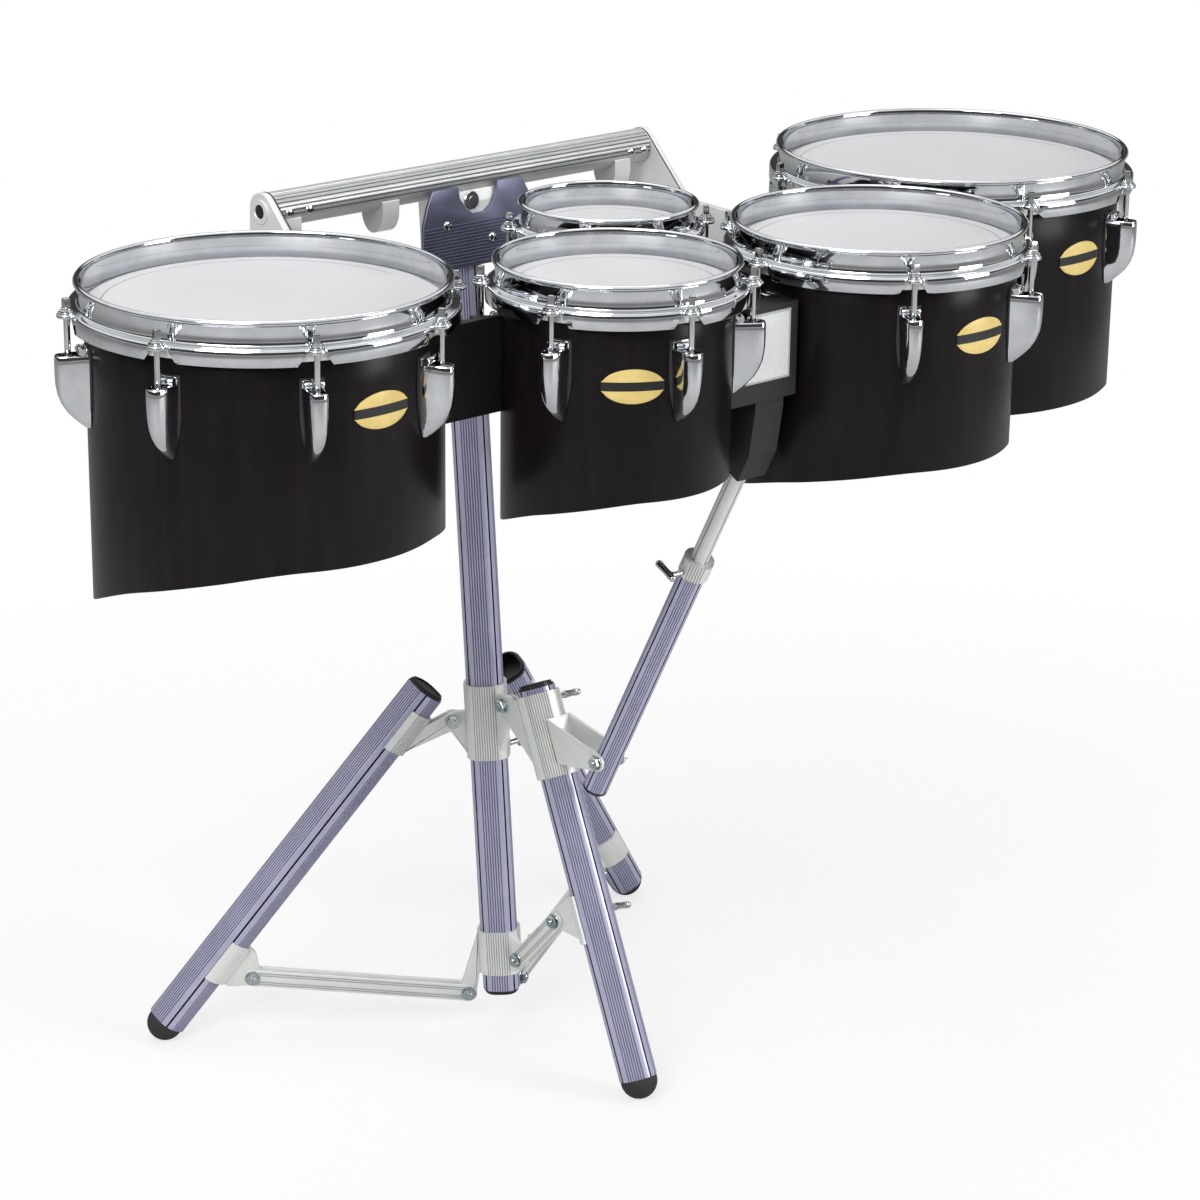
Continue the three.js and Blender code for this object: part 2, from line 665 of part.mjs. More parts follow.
function addLeg(leg) {
  const { frame, name } = leg;
  const plugDown = footRadius / 4;
  const tubeEnd = leg.along - plugDown;
  const tube = prismX(tubeOuter, tubeEnd + leg.capReach, tubeInner);
  addMesh(frame, "leg_" + name, place(tube, shift(-leg.capReach, 0, leg.axisOut)), "lilac");
  addMesh(frameIn(frame, [-leg.capReach, 0, leg.axisOut], [0, Math.PI / 2, 0]), "leg_cap_" + name, capBody, "black");

  // Rubber foot: a plug in the tube and a dome that the floor flattens.
  const footPlug = tubeWidth / 2 - tubeWall - seatGap - slideGap;
  const lid = -plugDown + seatGap;
  const dome = Array.from({ length: 5 }, (_, i) => {
    const a = (i / 4) * (Math.PI / 2);
    return [footRadius * Math.sin(a), footRadius * Math.cos(a)];
  });
  const foot = spin(
    [...dome, [footRadius, lid], [footPlug, lid], [footPlug, lid - footRadius], [0, lid - footRadius]], 14);
  const footFrame = frameIn(frame, [leg.along, 0, leg.axisOut], [0, Math.PI / 2, 0]);
  const sole = new THREE.Vector3().applyMatrix4(footFrame.matrixWorld);
  const slab = footRadius * 4;
  const floor = place(box(slab, slab, slab), shift(sole.x, sole.y, -slab / 2));
  addMesh(footFrame, "foot_" + name, foot.subtract(place(floor, footFrame.matrixWorld.clone().invert())), "rubber");

  // Hinged sleeve: a wrap round the tube and two cheeks that reach the hub's wing.
  const legBore = place(prismX(sleeveBore, tubeEnd * 2), shift(-tubeEnd / 2, 0, leg.axisOut));
  const trim = (from, long, rise) => place(box(long + cutOverrun * 2, tubeWidth * 2, tubeWidth * 2),
    shift(from + long / 2, 0, leg.axisOut + rise + tubeWidth));
  const ring = place(prismX(sleeveOuter, leg.sleeveLength), shift(leg.sleeveFrom, 0, leg.axisOut));
  const ringFoot = leg.axisOut - sleeveHalf + sleeveWall / 2;
  const cheek = wasm.Manifold.hull([
    pin(eyeRadius, cheekThick, 12),
    place(pin(sleeveWall / 2, cheekThick, 6), shift(leg.sleeveFrom + eyeRadius, 0, ringFoot)),
    place(pin(sleeveWall / 2, cheekThick, 6), shift(leg.sleeveFrom + leg.sleeveLength - eyeRadius / 2, 0, ringFoot)),
  ]);
  const cheeks = [-1, 1].map((s) => place(cheek, shift(0, s * (cheekInner + cheekThick / 2), 0)));
  const sleeve = cut(join([ring, ...cheeks]),
    [legBore, pinHole(0, 0), trim(leg.sleeveFrom, leg.sleeveLength, leg.wrap)]);
  addMesh(frame, "sleeve_" + name, sleeve, "silver");

  // Wing on the hub, in the leg's plane, with the hinge bolt through it.
  const wing = linkPlate(
    [[pivotRadius, leg.pivotHeight], [wingFoot, leg.pivotHeight], [wingFoot, hubBottom + eyeRadius]],
    eyeRadius - slideGap, wingThick);
  const outside = place(box(sleeveHalf * 2, wingThick * 2, leg.pivotHeight * 4),
    shift(sleeveHalf * 2 - sleeveWall / 2, 0, 0));
  const around = turnZ(leg.azimuth);
  hubParts.push(place(wing.intersect(outside), around));
  hubParts.push(place(pivotBolt(pivotRadius, leg.pivotHeight, cheekOuter + seatGap), around));

  // Bracket half round the tube, with a tongue that takes the brace.
  const bracketFrom = leg.bracketAlong - leg.bracketLength / 2;
  const tongueRoot = ringFoot - eyeRadius + sleeveWall;
  const bracketEye = [leg.bracketAlong, -leg.bracketIn];
  const bracket = cut(
    join([
      place(prismX(sleeveOuter, leg.bracketLength), shift(bracketFrom, 0, leg.axisOut)),
      linkPlate([bracketEye, [bracketFrom + eyeRadius, tongueRoot],
        [bracketFrom + leg.bracketLength - eyeRadius, tongueRoot]], eyeRadius, wingThick),
    ]),
    [legBore, trim(bracketFrom, leg.bracketLength, wrapRise)],
  );
  addMesh(frame, "bracket_" + name, bracket, "silver");

  // Brace: two bars beside the tongue and beside the collar's lug, with the hinge pin at the lug.
  const lugPlace = new THREE.Vector3(braceLugRadius, 0, leg.lugHeight).applyMatrix4(between(leg.plane, frame));
  const eyes = [bracketEye, [lugPlace.x, lugPlace.z]];
  const nutOff = (braceThick + pivotNutThick) / 2 - weldTolerance;
  const bars = [-1, 1].map((s) => {
    const nut = (eye) => linkPlate([eye], pivotNutRadius, pivotNutThick, 6);
    const nuts = eyes.map((eye) => place(nut(eye), shift(0, s * nutOff, 0)));
    return place(join([linkPlate(eyes, braceWidth / 2, braceThick, 14), ...nuts]),
      shift(0, s * (cheekInner + braceThick / 2), 0));
  });
  const hingePin = linkPlate([eyes[1]], pivotBoltRadius, cheekInner * 2 + braceThick, 8);
  addMesh(frame, "brace_" + name, join([...bars, hingePin]), "silver");

  const lugPlate = linkPlate(
    [[braceLugRadius, leg.lugHeight], [wingFoot, collarBottom + eyeRadius],
      [wingFoot, collarBottom + collarHeight - eyeRadius]],
    eyeRadius, wingThick);
  collarParts.push(place(lugPlate.intersect(outside).subtract(pinHole(braceLugRadius, leg.lugHeight)), around));
}
legs.forEach(standLeg);
legs.forEach(addLeg);

const mastBore = prismZ(sleeveBore, mastTop);
addMesh(stand, "hub", cut(join(hubParts), [mastBore]), "silver");
addMesh(stand, "collar", cut(join(collarParts), [mastBore]), "silver");

// Hook plate in front of the rail, and the saddle that carries both on the mast.
const hookOutline = hookOutlineShares.map(([u, v]) => [u * hookHalfWidth, v * hookHeight]);
const hook = frameIn(stand, [hookAside, -hookBack, mastTop + hookRise]);
addMesh(hook, "hook_plate", prismY(hookOutline, hookThick), "lilac");

const saddleFront = -hookBack + hookThick / 2 + seatGap;
const saddleTop = railInStand.z - railRadius / 3;
const saddleOutline = [
  [saddleFront, mastTop + seatGap], [saddleBack, mastTop + seatGap], [saddleBack, saddleTop - railRadius],
  [railInStand.y + railRadius, saddleTop - railRadius / 3], [railInStand.y - railRadius, saddleTop - railRadius / 3],
  [saddleFront, saddleTop - railRadius],
];
const cradle = place(place(rod(railRadius + seatGap, saddleWidth * 2, 24), turnY(Math.PI / 2)),
  shift(0, railInStand.y, railInStand.z));
const saddle = join([
  place(prismX(saddleOutline, saddleWidth), shift(-saddleWidth / 2, 0, 0)),
  place(prismZ(tubePlug, saddlePlug + seatGap * 2), shift(0, 0, mastTop - saddlePlug)),
]).subtract(cradle);
addMesh(stand, "hook_saddle", saddle, "silver");

// Prop strut, in the near leg's plane, from the leg's sleeve to the box with the label.
const near = legs[1];
const nearTop = near.axisOut + sleeveHalf;
const strutPivot = [strutPivotAlong, nearTop + strutPivotRise];
const pivotInPlane = new THREE.Vector3(strutPivot[0], 0, strutPivot[1]).applyMatrix4(between(near.frame, near.plane));
const boxFloor = lipHeight - channelTopDrop - channelHeight;
const tip = new THREE.Vector3(0, labelBox.middle.y - elbowAhead, boxFloor - elbowHeight);
const tipInPlane = tip.clone().applyMatrix4(near.plane.matrixWorld.clone().invert());
const strutWay = tipInPlane.clone().sub(pivotInPlane);
const strutLength = Math.hypot(strutWay.x, strutWay.z);
const strutLean = Math.atan2(strutWay.z, strutWay.x);
const strutOuterLength = strutLength - strutShown;
const strut = frameIn(near.plane, pivotInPlane.toArray(), [0, -strutLean, 0]);
const outerTube = prismX(squareSection(strutOuterWidth, strutCorner, 0), strutOuterLength + strutTail,
  squareSection(strutOuterWidth - strutWall * 2, strutCorner - strutWall, 0));
addMesh(strut, "strut_outer", place(outerTube, shift(-strutTail, 0, 0)).subtract(pinHole(0, 0)), "lilac");
const innerTube = prismX(squareSection(strutInnerWidth, strutInnerCorner, 0), strutShown + strutInside);
addMesh(frameIn(strut, [strutOuterLength - strutInside, 0, 0]), "strut_inner", innerTube, "silver");

const strutGuide = squareSection(strutInnerWidth + seatGap * 2, strutInnerCorner, 0);
const collarSection = squareSection(strutOuterWidth + strutCollarWall * 2, strutCorner + strutCollarWall, 0);
const strutCollar = join([
  prismX(collarSection, strutCollarLength / 2, strutGuide),
  place(prismX(collarSection, strutCollarLength, squareSection(strutOuterWidth + seatGap * 2, strutCorner, 0)),
    shift(weldTolerance - strutCollarLength, 0, 0)),
]);
addMesh(frameIn(strut, [strutOuterLength + seatGap, 0, 0]), "strut_collar", strutCollar, "silver");

const strutCheekAt = strutOuterWidth / 2 + slideGap + strutCheek / 2;
const backFace = nearTop + seatGap;
const cheekFoot = (along) => place(pin(strutCheek / 2, strutCheek, 6), shift(along, 0, backFace + strutCheek / 2));
const cheekFirst = near.sleeveLength / 2 - near.sleeveLength / 6;
const cheekLast = near.sleeveLength - near.sleeveLength / 6;
const strutCheekBody = wasm.Manifold.hull([
  place(pin(eyeRadius, strutCheek, 12), shift(strutPivot[0], 0, strutPivot[1])),
  cheekFoot(near.sleeveFrom + cheekFirst), cheekFoot(near.sleeveFrom + cheekLast),
]);
const backPlate = place(box(cheekLast - cheekFirst + strutCheek, strutCheekAt * 2 + strutCheek, strutCheek),
  shift(near.sleeveFrom + (cheekFirst + cheekLast) / 2, 0, backFace + strutCheek / 2));
addMesh(near.frame, "strut_bracket", join([
  backPlate, ...[-1, 1].map((s) => place(strutCheekBody, shift(0, s * strutCheekAt, 0))),
  pivotBolt(strutPivot[0], strutPivot[1], strutCheekAt + strutCheek / 2),
]), "silver");

// Rubber elbow: it caps the strut and turns up to carry the box under the drums.
const elbow = frameIn(root, tip.toArray());
const strutEnd = between(strut, elbow);
const way = new THREE.Vector3(1, 0, 0).transformDirection(strutEnd);
const beside = (down, off) => [-way.y * down - way.z * off, -way.z * down + way.y * off];
const elbowOutline = [
  beside(elbowBody, elbowBody / 2), beside(0, elbowBody / 2), [-elbowGrip / 2, elbowHeight - elbowBody / 3],
  [-elbowGrip / 2, elbowHeight - seatGap], [elbowGrip / 2, elbowHeight - seatGap],
  [elbowGrip / 2, elbowHeight - elbowBody / 3], beside(elbowBody, -elbowBody / 2),
];
const socket = place(place(prismX(strutGuide, strutLength), shift(seatGap, 0, 0)), strutEnd);
addMesh(elbow, "strut_elbow",
  place(prismX(elbowOutline, elbowWidth), shift(-elbowWidth / 2, 0, 0)).subtract(socket), "rubber");

// Clamp levers: a screw along X with a bar across it.
const screw = place(rod(leverScrewRadius, leverScrewLength), turnY(Math.PI / 2));
const lever = join([
  place(screw, shift(leverScrewLength / 2 + seatGap, 0, 0)),
  place(rod(leverRadius, leverLength, 8), shift(leverScrewLength, 0, leverLength / 4)),
]);
const aside = [0, 0, Math.PI / 2];
const strutFace = strutOuterWidth / 2 + strutCollarWall;
const levers = {
  lever_hub: frameIn(stand, [sleeveHalf, -tubeCorner, hubBottom + eyeRadius]),
  lever_collar: frameIn(stand, [sleeveHalf, -tubeCorner, collarBottom + eyeRadius]),
  lever_near_sleeve: frameIn(near.frame, [near.sleeveFrom + eyeRadius, sleeveHalf, near.axisOut], aside),
  lever_near_bracket: frameIn(near.frame, [near.bracketAlong, sleeveHalf, near.axisOut - tubeCorner], aside),
  lever_strut: frameIn(strut, [strutOuterLength, -strutFace, 0], [0, 0, -Math.PI / 2]),
};
for (const [name, frame] of Object.entries(levers)) addMesh(frame, name, lever, "chrome");

// The part stands centred on its own box.
root.updateMatrixWorld(true);
const bounds = new THREE.Box3().setFromObject(root, true);
const centre = bounds.getCenter(new THREE.Vector3());
root.position.set(-centre.x, -centre.y, -bounds.min.z);
const group = new THREE.Group();
group.add(root);

export default group;
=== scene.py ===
import math
from itertools import repeat

import bmesh
import bpy
from mathutils import Matrix, Vector


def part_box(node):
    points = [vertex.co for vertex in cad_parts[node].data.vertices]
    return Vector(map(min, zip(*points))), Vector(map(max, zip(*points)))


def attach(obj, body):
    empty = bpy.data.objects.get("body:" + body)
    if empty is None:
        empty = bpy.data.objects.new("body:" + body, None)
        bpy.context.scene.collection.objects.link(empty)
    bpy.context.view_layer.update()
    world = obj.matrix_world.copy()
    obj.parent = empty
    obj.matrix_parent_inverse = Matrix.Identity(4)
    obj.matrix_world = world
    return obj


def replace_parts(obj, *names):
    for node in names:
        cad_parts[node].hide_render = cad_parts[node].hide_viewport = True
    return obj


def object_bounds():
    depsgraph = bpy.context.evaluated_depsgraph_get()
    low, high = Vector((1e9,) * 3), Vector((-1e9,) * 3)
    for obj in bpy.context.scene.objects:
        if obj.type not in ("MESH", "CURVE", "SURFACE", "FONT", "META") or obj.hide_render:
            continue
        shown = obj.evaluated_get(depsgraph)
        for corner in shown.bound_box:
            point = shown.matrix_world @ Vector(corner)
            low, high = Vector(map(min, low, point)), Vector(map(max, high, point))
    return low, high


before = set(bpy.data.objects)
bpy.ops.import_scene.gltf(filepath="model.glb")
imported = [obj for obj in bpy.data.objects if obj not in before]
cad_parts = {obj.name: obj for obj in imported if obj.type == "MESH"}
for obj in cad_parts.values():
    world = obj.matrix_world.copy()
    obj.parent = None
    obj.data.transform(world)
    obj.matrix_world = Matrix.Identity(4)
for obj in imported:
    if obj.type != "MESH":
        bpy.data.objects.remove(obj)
cadLow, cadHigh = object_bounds()
mm = 0.001
halfPi = math.pi / 2


# helpers: colours, nodes, materials
def linearColour(hexText):
    parts = [int(hexText[i:i + 2], 16) / 255 for i in (1, 3, 5)]
    return (*[c / 12.92 if c <= 0.04045 else ((c + 0.055) / 1.055) ** 2.4 for c in parts], 1.0)


def addNode(tree, kind, inputs=None, **settings):
    node = tree.nodes.new(kind)
    for key, value in settings.items():
        setattr(node, key, value)
    for key, value in (inputs or {}).items():
        if isinstance(value, bpy.types.NodeSocket):
            tree.links.new(value, node.inputs[key])
        else:
            node.inputs[key].default_value = value
    return node


def newSurface(name, metallic, roughness, **sockets):
    material = bpy.data.materials.new(name)
    material.use_nodes = True
    shader = material.node_tree.nodes["Principled BSDF"]
    for key, value in {"Metallic": metallic, "Roughness": roughness, **sockets}.items():
        shader.inputs[key.replace("_", " ")].default_value = value
    return material, shader, addNode(material.node_tree, "ShaderNodeTexCoord").outputs["Object"]


# stops are (place, colour) pairs, or two bare colours
def rampBetween(tree, factor, stops):
    if isinstance(stops[0], str):
        stops = list(zip((0.3, 0.7), stops))
    ramp = addNode(tree, "ShaderNodeValToRGB", {"Fac": factor})
    elements = ramp.color_ramp.elements
    while len(elements) < len(stops):
        elements.new(0.5)
    for element, (place, colour) in zip(elements, stops):
        element.position = place
        element.color = linearColour(colour) if isinstance(colour, str) else (*[colour] * 3, 1)
    return ramp.outputs["Color"]


def stretched(coords, scale):
    return addNode(coords.id_data, "ShaderNodeMapping", {"Vector": coords, "Scale": scale}).outputs["Vector"]


def noiseOver(coords, scale, detail, roughness=0.5):
    return addNode(coords.id_data, "ShaderNodeTexNoise", {
        "Vector": coords, "Scale": scale, "Detail": detail, "Roughness": roughness}).outputs["Fac"]


def connect(source, shader, socket):
    shader.id_data.links.new(source, shader.inputs[socket])


def colourBy(shader, factor, stops):
    connect(rampBetween(shader.id_data, factor, stops), shader, "Base Color")


def roughBy(shader, factor, low, high):
    rough = addNode(shader.id_data, "ShaderNodeMapRange", {"Value": factor, "To Min": low, "To Max": high})
    connect(rough.outputs["Result"], shader, "Roughness")


def bumpOn(shader, height, strength, distance):
    bump = addNode(shader.id_data, "ShaderNodeBump", {
        "Height": height, "Strength": strength, "Distance": distance})
    connect(bump.outputs["Normal"], shader, "Normal")


# black stained maple under lacquer, grain running down the shell, with a soft orange peel
def stainedMaple():
    material, shader, coords = newSurface("stained maple lacquer", 0, 0.3, Coat_Weight=0.06, Coat_Roughness=0.2,
                                          Specular_IOR_Level=0.12)
    figure = noiseOver(stretched(coords, (60, 60, 9)), 1.0, 6, 0.62)
    colourBy(shader, figure, [(0.3, "#100c0e"), (0.52, "#151113"), (0.72, "#1b1618")])
    roughBy(shader, noiseOver(coords, 14, 3), 0.26, 0.37)
    bumpOn(shader, noiseOver(coords, 260, 2), 0.04, 0.0004)
    return material


# raw inside of the shells, seen only from below
def sealedMaple():
    material, shader, coords = newSurface("sealed maple inside", 0, 0.5)
    grain = noiseOver(stretched(coords, (14, 14, 90)), 1.6, 8, 0.65)
    colourBy(shader, grain, [(0.32, "#2c2119"), (0.5, "#3a2c21"), (0.7, "#4a382a")])
    bumpOn(shader, grain, 0.2, 0.0004)
    return material


def polishedMetal(name, tones, roughness, spread):
    material, shader, coords = newSurface(name, 1, roughness)
    haze = noiseOver(coords, 45, 4)
    colourBy(shader, haze, tones)
    roughBy(shader, haze, roughness - spread, roughness + spread)
    return material


# anodised extrusion: satin metal of mixed tone with a fine grain
def anodised(name, tones, roughness, metallic=0.85):
    material, shader, coords = newSurface(name, metallic, roughness)
    colourBy(shader, noiseOver(coords, 30, 5, 0.6), tones)
    grain = noiseOver(coords, 900, 2)
    roughBy(shader, grain, roughness - 0.06, roughness + 0.08)
    bumpOn(shader, grain, 0.05, 0.0002)
    return material


def matteMoulding(name, tones, roughness, grainScale, depth):
    material, shader, coords = newSurface(name, 0, roughness)
    grain = noiseOver(coords, grainScale, 4, 0.7)
    colourBy(shader, grain, tones)
    bumpOn(shader, grain, 0.35, depth)
    return material


def drumFilm():
    material, shader, coords = newSurface("polyester film", 0, 0.55)
    colourBy(shader, noiseOver(coords, 9, 3), ("#d0d0d2", "#d6d6d8"))
    bumpOn(shader, noiseOver(coords, 18, 1), 0.04, 0.002)
    return material


maple = stainedMaple()
mapleInside = sealedMaple()
chrome = polishedMetal("polished chrome", ("#c9ccd0", "#dcdee1"), 0.05, 0.02)
nickel = polishedMetal("nickel plated steel", ("#bfc0c1", "#d6d7d7"), 0.16, 0.04)
zinc = polishedMetal("zinc plated steel", ("#a9b4b6", "#c8d0d2"), 0.24, 0.05)
lilac = anodised("lilac anodised aluminium", [(0.3, "#b8b7d1"), (0.55, "#bfbed8"), (0.75, "#c6c5df")], 0.34, 0.55)
# the next two are the lilac darkened in the corner grooves and the fine ribs of the tubes: painted shade
lilacGrooveShade = anodised("lilac groove painted shade", ("#1d1d2b", "#262636"), 0.5)
lilacRibShade = anodised("lilac fine rib painted shade", ("#737390", "#80809c"), 0.42, 0.58)
# the hook plate takes the lilac's shaded tone all over: painted shade
shadedHookLilac = anodised("lilac anodised plate in painted shade", ("#616378", "#6e7086"), 0.34, 0.62)
silver = anodised("silver anodised aluminium", ("#e3e5e2", "#ebedea"), 0.42, 0.4)
# darker silver for the grooves of the ribbed silver parts and the thin lines on the braces: painted shade
silverGrooveShade = anodised("silver groove painted shade", ("#a5a8a5", "#b1b4b0"), 0.45, 0.4)
railGrey = anodised("grey anodised rail", ("#b1b3b3", "#bdbfbf"), 0.36, 0.6)
# darker grey for the rail's rib grooves: painted shade
railGrooveShade = anodised("grey rail groove painted shade", ("#5b5d60", "#67696c"), 0.42, 0.6)
film = drumFilm()
# a darker grey ring on the film some way in from its edge: painted shadow and reflection of the hoop
hoopShadeOnFilm = matteMoulding("painted hoop shade on film", ("#8e8e92", "#9b9b9f"), 0.35, 60, 0.0001)
powderBlack = matteMoulding("black powder coat", ("#141315", "#1e1c1f"), 0.5, 1400, 0.0003)
rubber = matteMoulding("moulded rubber", ("#232122", "#302d2d"), 0.72, 1100, 0.0003)
capPlastic = matteMoulding("black moulded plastic", ("#131213", "#1c1b1c"), 0.45, 900, 0.0002)
badgeGold = matteMoulding("satin gold badge", ("#cdb468", "#dcc57e"), 0.42, 40, 0.0001)
labelGrey = matteMoulding("grey label edge", ("#a9abad", "#b8babb"), 0.5, 200, 0.0001)
labelField = matteMoulding("pale label field", ("#d3d5d6", "#dddfe0"), 0.5, 200, 0.0001)
lilacTube, ribbedSilver = [lilac, lilacGrooveShade, lilacRibShade], [silver, silverGrooveShade]
print("materials ready")


# helpers: meshes
def shiftBy(x, y, z):
    return Matrix.Translation((x, y, z))


def turnBy(angle, axis):
    return Matrix.Rotation(angle, 4, axis)


def addObject(name, data):
    made = bpy.data.objects.new(name, data)
    bpy.context.scene.collection.objects.link(made)
    return made


# turn a mesh in millimetres into a piece on its body
def makePiece(name, bm, materials, body, sharp=30, matrix=Matrix()):
    bmesh.ops.transform(bm, matrix=matrix, verts=bm.verts)
    bmesh.ops.scale(bm, vec=(mm, mm, mm), verts=bm.verts)
    bmesh.ops.recalc_face_normals(bm, faces=bm.faces)
    mesh = bpy.data.meshes.new(name)
    bm.to_mesh(mesh)
    bm.free()
    for polygon in mesh.polygons:
        polygon.use_smooth = True
    mesh.set_sharp_from_angle(angle=math.radians(sharp))
    for material in materials if isinstance(materials, (list, tuple)) else [materials]:
        mesh.materials.append(material)
    piece = addObject(name, mesh)
    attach(piece, body)
    return piece


# a piece that also takes the place of its CAD node
def dressNode(name, bm, materials, body, node, sharp=30, matrix=Matrix()):
    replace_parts(makePiece(name, bm, materials, body, sharp, matrix), node)


def addRing(bm, points):
    return [bm.verts.new(p) for p in points]


def loopEdges(bm, ring):
    pairs = [(ring[i], ring[(i + 1) % len(ring)]) for i in range(len(ring))]
    return [bm.edges.get(pair) or bm.edges.new(pair) for pair in pairs]


def bridgeRings(bm, a, b):
    bmesh.ops.bridge_loops(bm, edges=loopEdges(bm, a) + loopEdges(bm, b))


def newIn(sequence, known):
    return [item for item in sequence if item not in known]


def placeNew(bm, known, matrix):
    bmesh.ops.transform(bm, matrix=matrix, verts=newIn(bm.verts, known))


# copy a face region along a way, with walls between; the first region stays
def extrudeFaces(bm, faces, way):
    grown = bmesh.ops.extrude_face_region(bm, geom=faces, use_keep_orig=True)["geom"]
    bmesh.ops.translate(bm, vec=way, verts=[v for v in grown if isinstance(v, bmesh.types.BMVert)])
    return [f for f in grown if isinstance(f, bmesh.types.BMFace)]


# give faces the material slots of the outline spans that they continue
def slotBySpan(faces, spans, slots, spotOf):
    def keyOf(points):
        return frozenset((round(a, 3), round(b, 3)) for a, b in points)

    slotOf = {keyOf(span): slot for span, slot in zip(spans, slots)}
    for face in faces:
        face.material_index = slotOf.get(keyOf(spotOf(v.co) for v in face.verts), 0)


# spin a profile of (radius, height) points round Z; it closes on itself or ends on the axis. Marked spans get slot 1
def revolve(bm, profile, segments, matrix=Matrix(), marked=()):
    knownVerts, knownFaces = set(bm.verts), set(bm.faces)
    points = profile[:-1] if profile[0] == profile[-1] else profile
    chain = addRing(bm, [(radius, 0, height) for radius, height in points])
    spans = list(zip(profile, profile[1:]))
    edges = [bm.edges.new((chain[k], chain[(k + 1) % len(chain)])) for k, (a, b) in enumerate(spans)
             if max(a[0], b[0]) > 1e-6]
    bmesh.ops.spin(bm, geom=chain + edges, cent=(0, 0, 0), axis=(0, 0, 1), angle=2 * math.pi, steps=segments,
                   use_merge=True)
    slotBySpan(newIn(bm.faces, knownFaces), spans, [int(k in marked) for k in range(len(spans))],
               lambda co: (math.hypot(co.x, co.y), co.z))
    tips = [v for v in newIn(bm.verts, knownVerts) if math.hypot(v.co.x, v.co.y) < 1e-4]
    bmesh.ops.remove_doubles(bm, verts=tips, dist=1e-3)
    placeNew(bm, knownVerts, matrix)


# extrude a section of (u, v) points along local X from one place to another, with a hole if given
def sweepX(bm, section, start, end, matrix, hole=None, slots=None):
    known = set(bm.verts)
    outline = addRing(bm, [(start, u, v) for u, v in section])
    edges = loopEdges(bm, outline)
    if hole:
        edges += loopEdges(bm, addRing(bm, [(start, u, v) for u, v in hole]))
        filled = bmesh.ops.triangle_fill(bm, use_beauty=True, use_dissolve=False, edges=edges)
        faces = [f for f in filled["geom"] if isinstance(f, bmesh.types.BMFace)]
    else:
        faces = [bm.faces.new(outline)]
    knownFaces = set(bm.faces)
    extrudeFaces(bm, faces, (end - start, 0, 0))
    if slots:
        slotBySpan(newIn(bm.faces, knownFaces), zip(section, section[1:] + section[:1]), slots,
                   lambda co: (co.y, co.z))
    placeNew(bm, known, matrix)


# a flat plate from an outline in local X and Z, with its rim edges eased
def plateXZ(bm, outline, thick, matrix, ease=0.6, segments=2, slotIndex=0):
    known = set(bm.verts)
    face = bm.faces.new(addRing(bm, [(x, -thick / 2, z) for x, z in outline]))
    face.material_index = slotIndex
    faces = [face] + extrudeFaces(bm, [face], (0, thick, 0))
    if ease:
        bmesh.ops.bevel(bm, geom=list({e for f in faces for e in f.edges}), offset=ease, segments=segments,
                        profile=0.5, affect="EDGES", material=-1, clamp_overlap=True)
    placeNew(bm, known, matrix)


def circlePoint(radius, a):
    return radius * math.cos(a), radius * math.sin(a)


def boxOutline(left, right, low, high):
    return [(left, low), (right, low), (right, high), (left, high)]


# a half outline of (x, z) points on the right, closed by its mirror image
def mirrored(half):
    return [(-half[0][0], half[0][1])] + half + [(-x, z) for x, z in half[:0:-1]]


# convex outline round some (x, z, radius) circles
def hullOutline(circles, steps=10):
    points = []
    for x, z, radius in circles:
        for i in range(steps * 2):
            a = math.pi * i / steps
            points.append((x + radius * math.cos(a), z + radius * math.sin(a)))
    points.sort()

    def half(values):
        chain = []
        for p in values:
            while len(chain) > 1 and ((chain[-1][0] - chain[-2][0]) * (p[1] - chain[-2][1])
                                      - (chain[-1][1] - chain[-2][1]) * (p[0] - chain[-2][0])) <= 0:
                chain.pop()
            chain.append(p)
        return chain[:-1]

    return half(points) + half(points[::-1])


def smoothStep(value, low, high):
    t = min(max((value - low) / (high - low), 0), 1)
    return t * t * (3 - 2 * t)


# origin of the measuring frame, from the head of the largest drum on the left
headLow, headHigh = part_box("drum_12_head")
measured = {"across": -397.4, "ahead": -225.0, "lip": 874.5}
originShift = Vector(((headLow.x + headHigh.x) / 2 / mm - measured["across"],
                      (headLow.y + headHigh.y) / 2 / mm - measured["ahead"], 0))
toRow = Matrix.Translation(originShift)
lip = measured["lip"]

# drums; a badge is its azimuth, its drop below the lip, its width and its height
drumSizes = {
    "drum_12": {"radius": 150.8, "x": -397.4, "y": -225.0, "front": 215, "back": 308, "lugs": 8, "first": 22.5,
                "badge": (-88, 85.5, 57, 31)},
    "drum_8": {"radius": 100.0, "x": -126.2, "y": -364.9, "front": 191, "back": 250, "lugs": 6, "first": 20,
               "badge": (-124, 88, 54, 30)},
    "drum_6": {"radius": 74.6, "x": 11.8, "y": -198.6, "front": 172, "back": 222, "lugs": 6, "first": 30,
               "badge": None},
    "drum_10": {"radius": 125.4, "x": 156.0, "y": -401.5, "front": 203, "back": 262, "lugs": 6, "first": 57,
                "badge": (-88, 85, 60, 32)},
    "drum_13": {"radius": 163.5, "x": 439.0, "y": -225.0, "front": 232, "back": 330, "lugs": 8, "first": 22.5,
                "badge": (-86.5, 86, 58, 32)},
}
shellForm = {"wall": 6.0, "edge": 23.2, "bevel": 4.0, "round": 0.8, "segments": 160}
scoop = [(-1, 0), (-0.85, 0.01), (-0.6, 0.11), (-0.3, 0.24), (0, 0.38), (0.5, 0.69), (1, 1)]


# frames at the lugs round a drum, some way out from its shell
def lugPlaces(drum, out=0.0):
    first, step = math.radians(drum["first"]), 2 * math.pi / drum["lugs"]
    return [turnBy(first + i * step, "Z") @ shiftBy(drum["radius"] + out, 0, 0) for i in range(drum["lugs"])]


def slopeOf(a, b):
    return (b[1] - a[1]) / (b[0] - a[0]) if b[0] != a[0] else 0


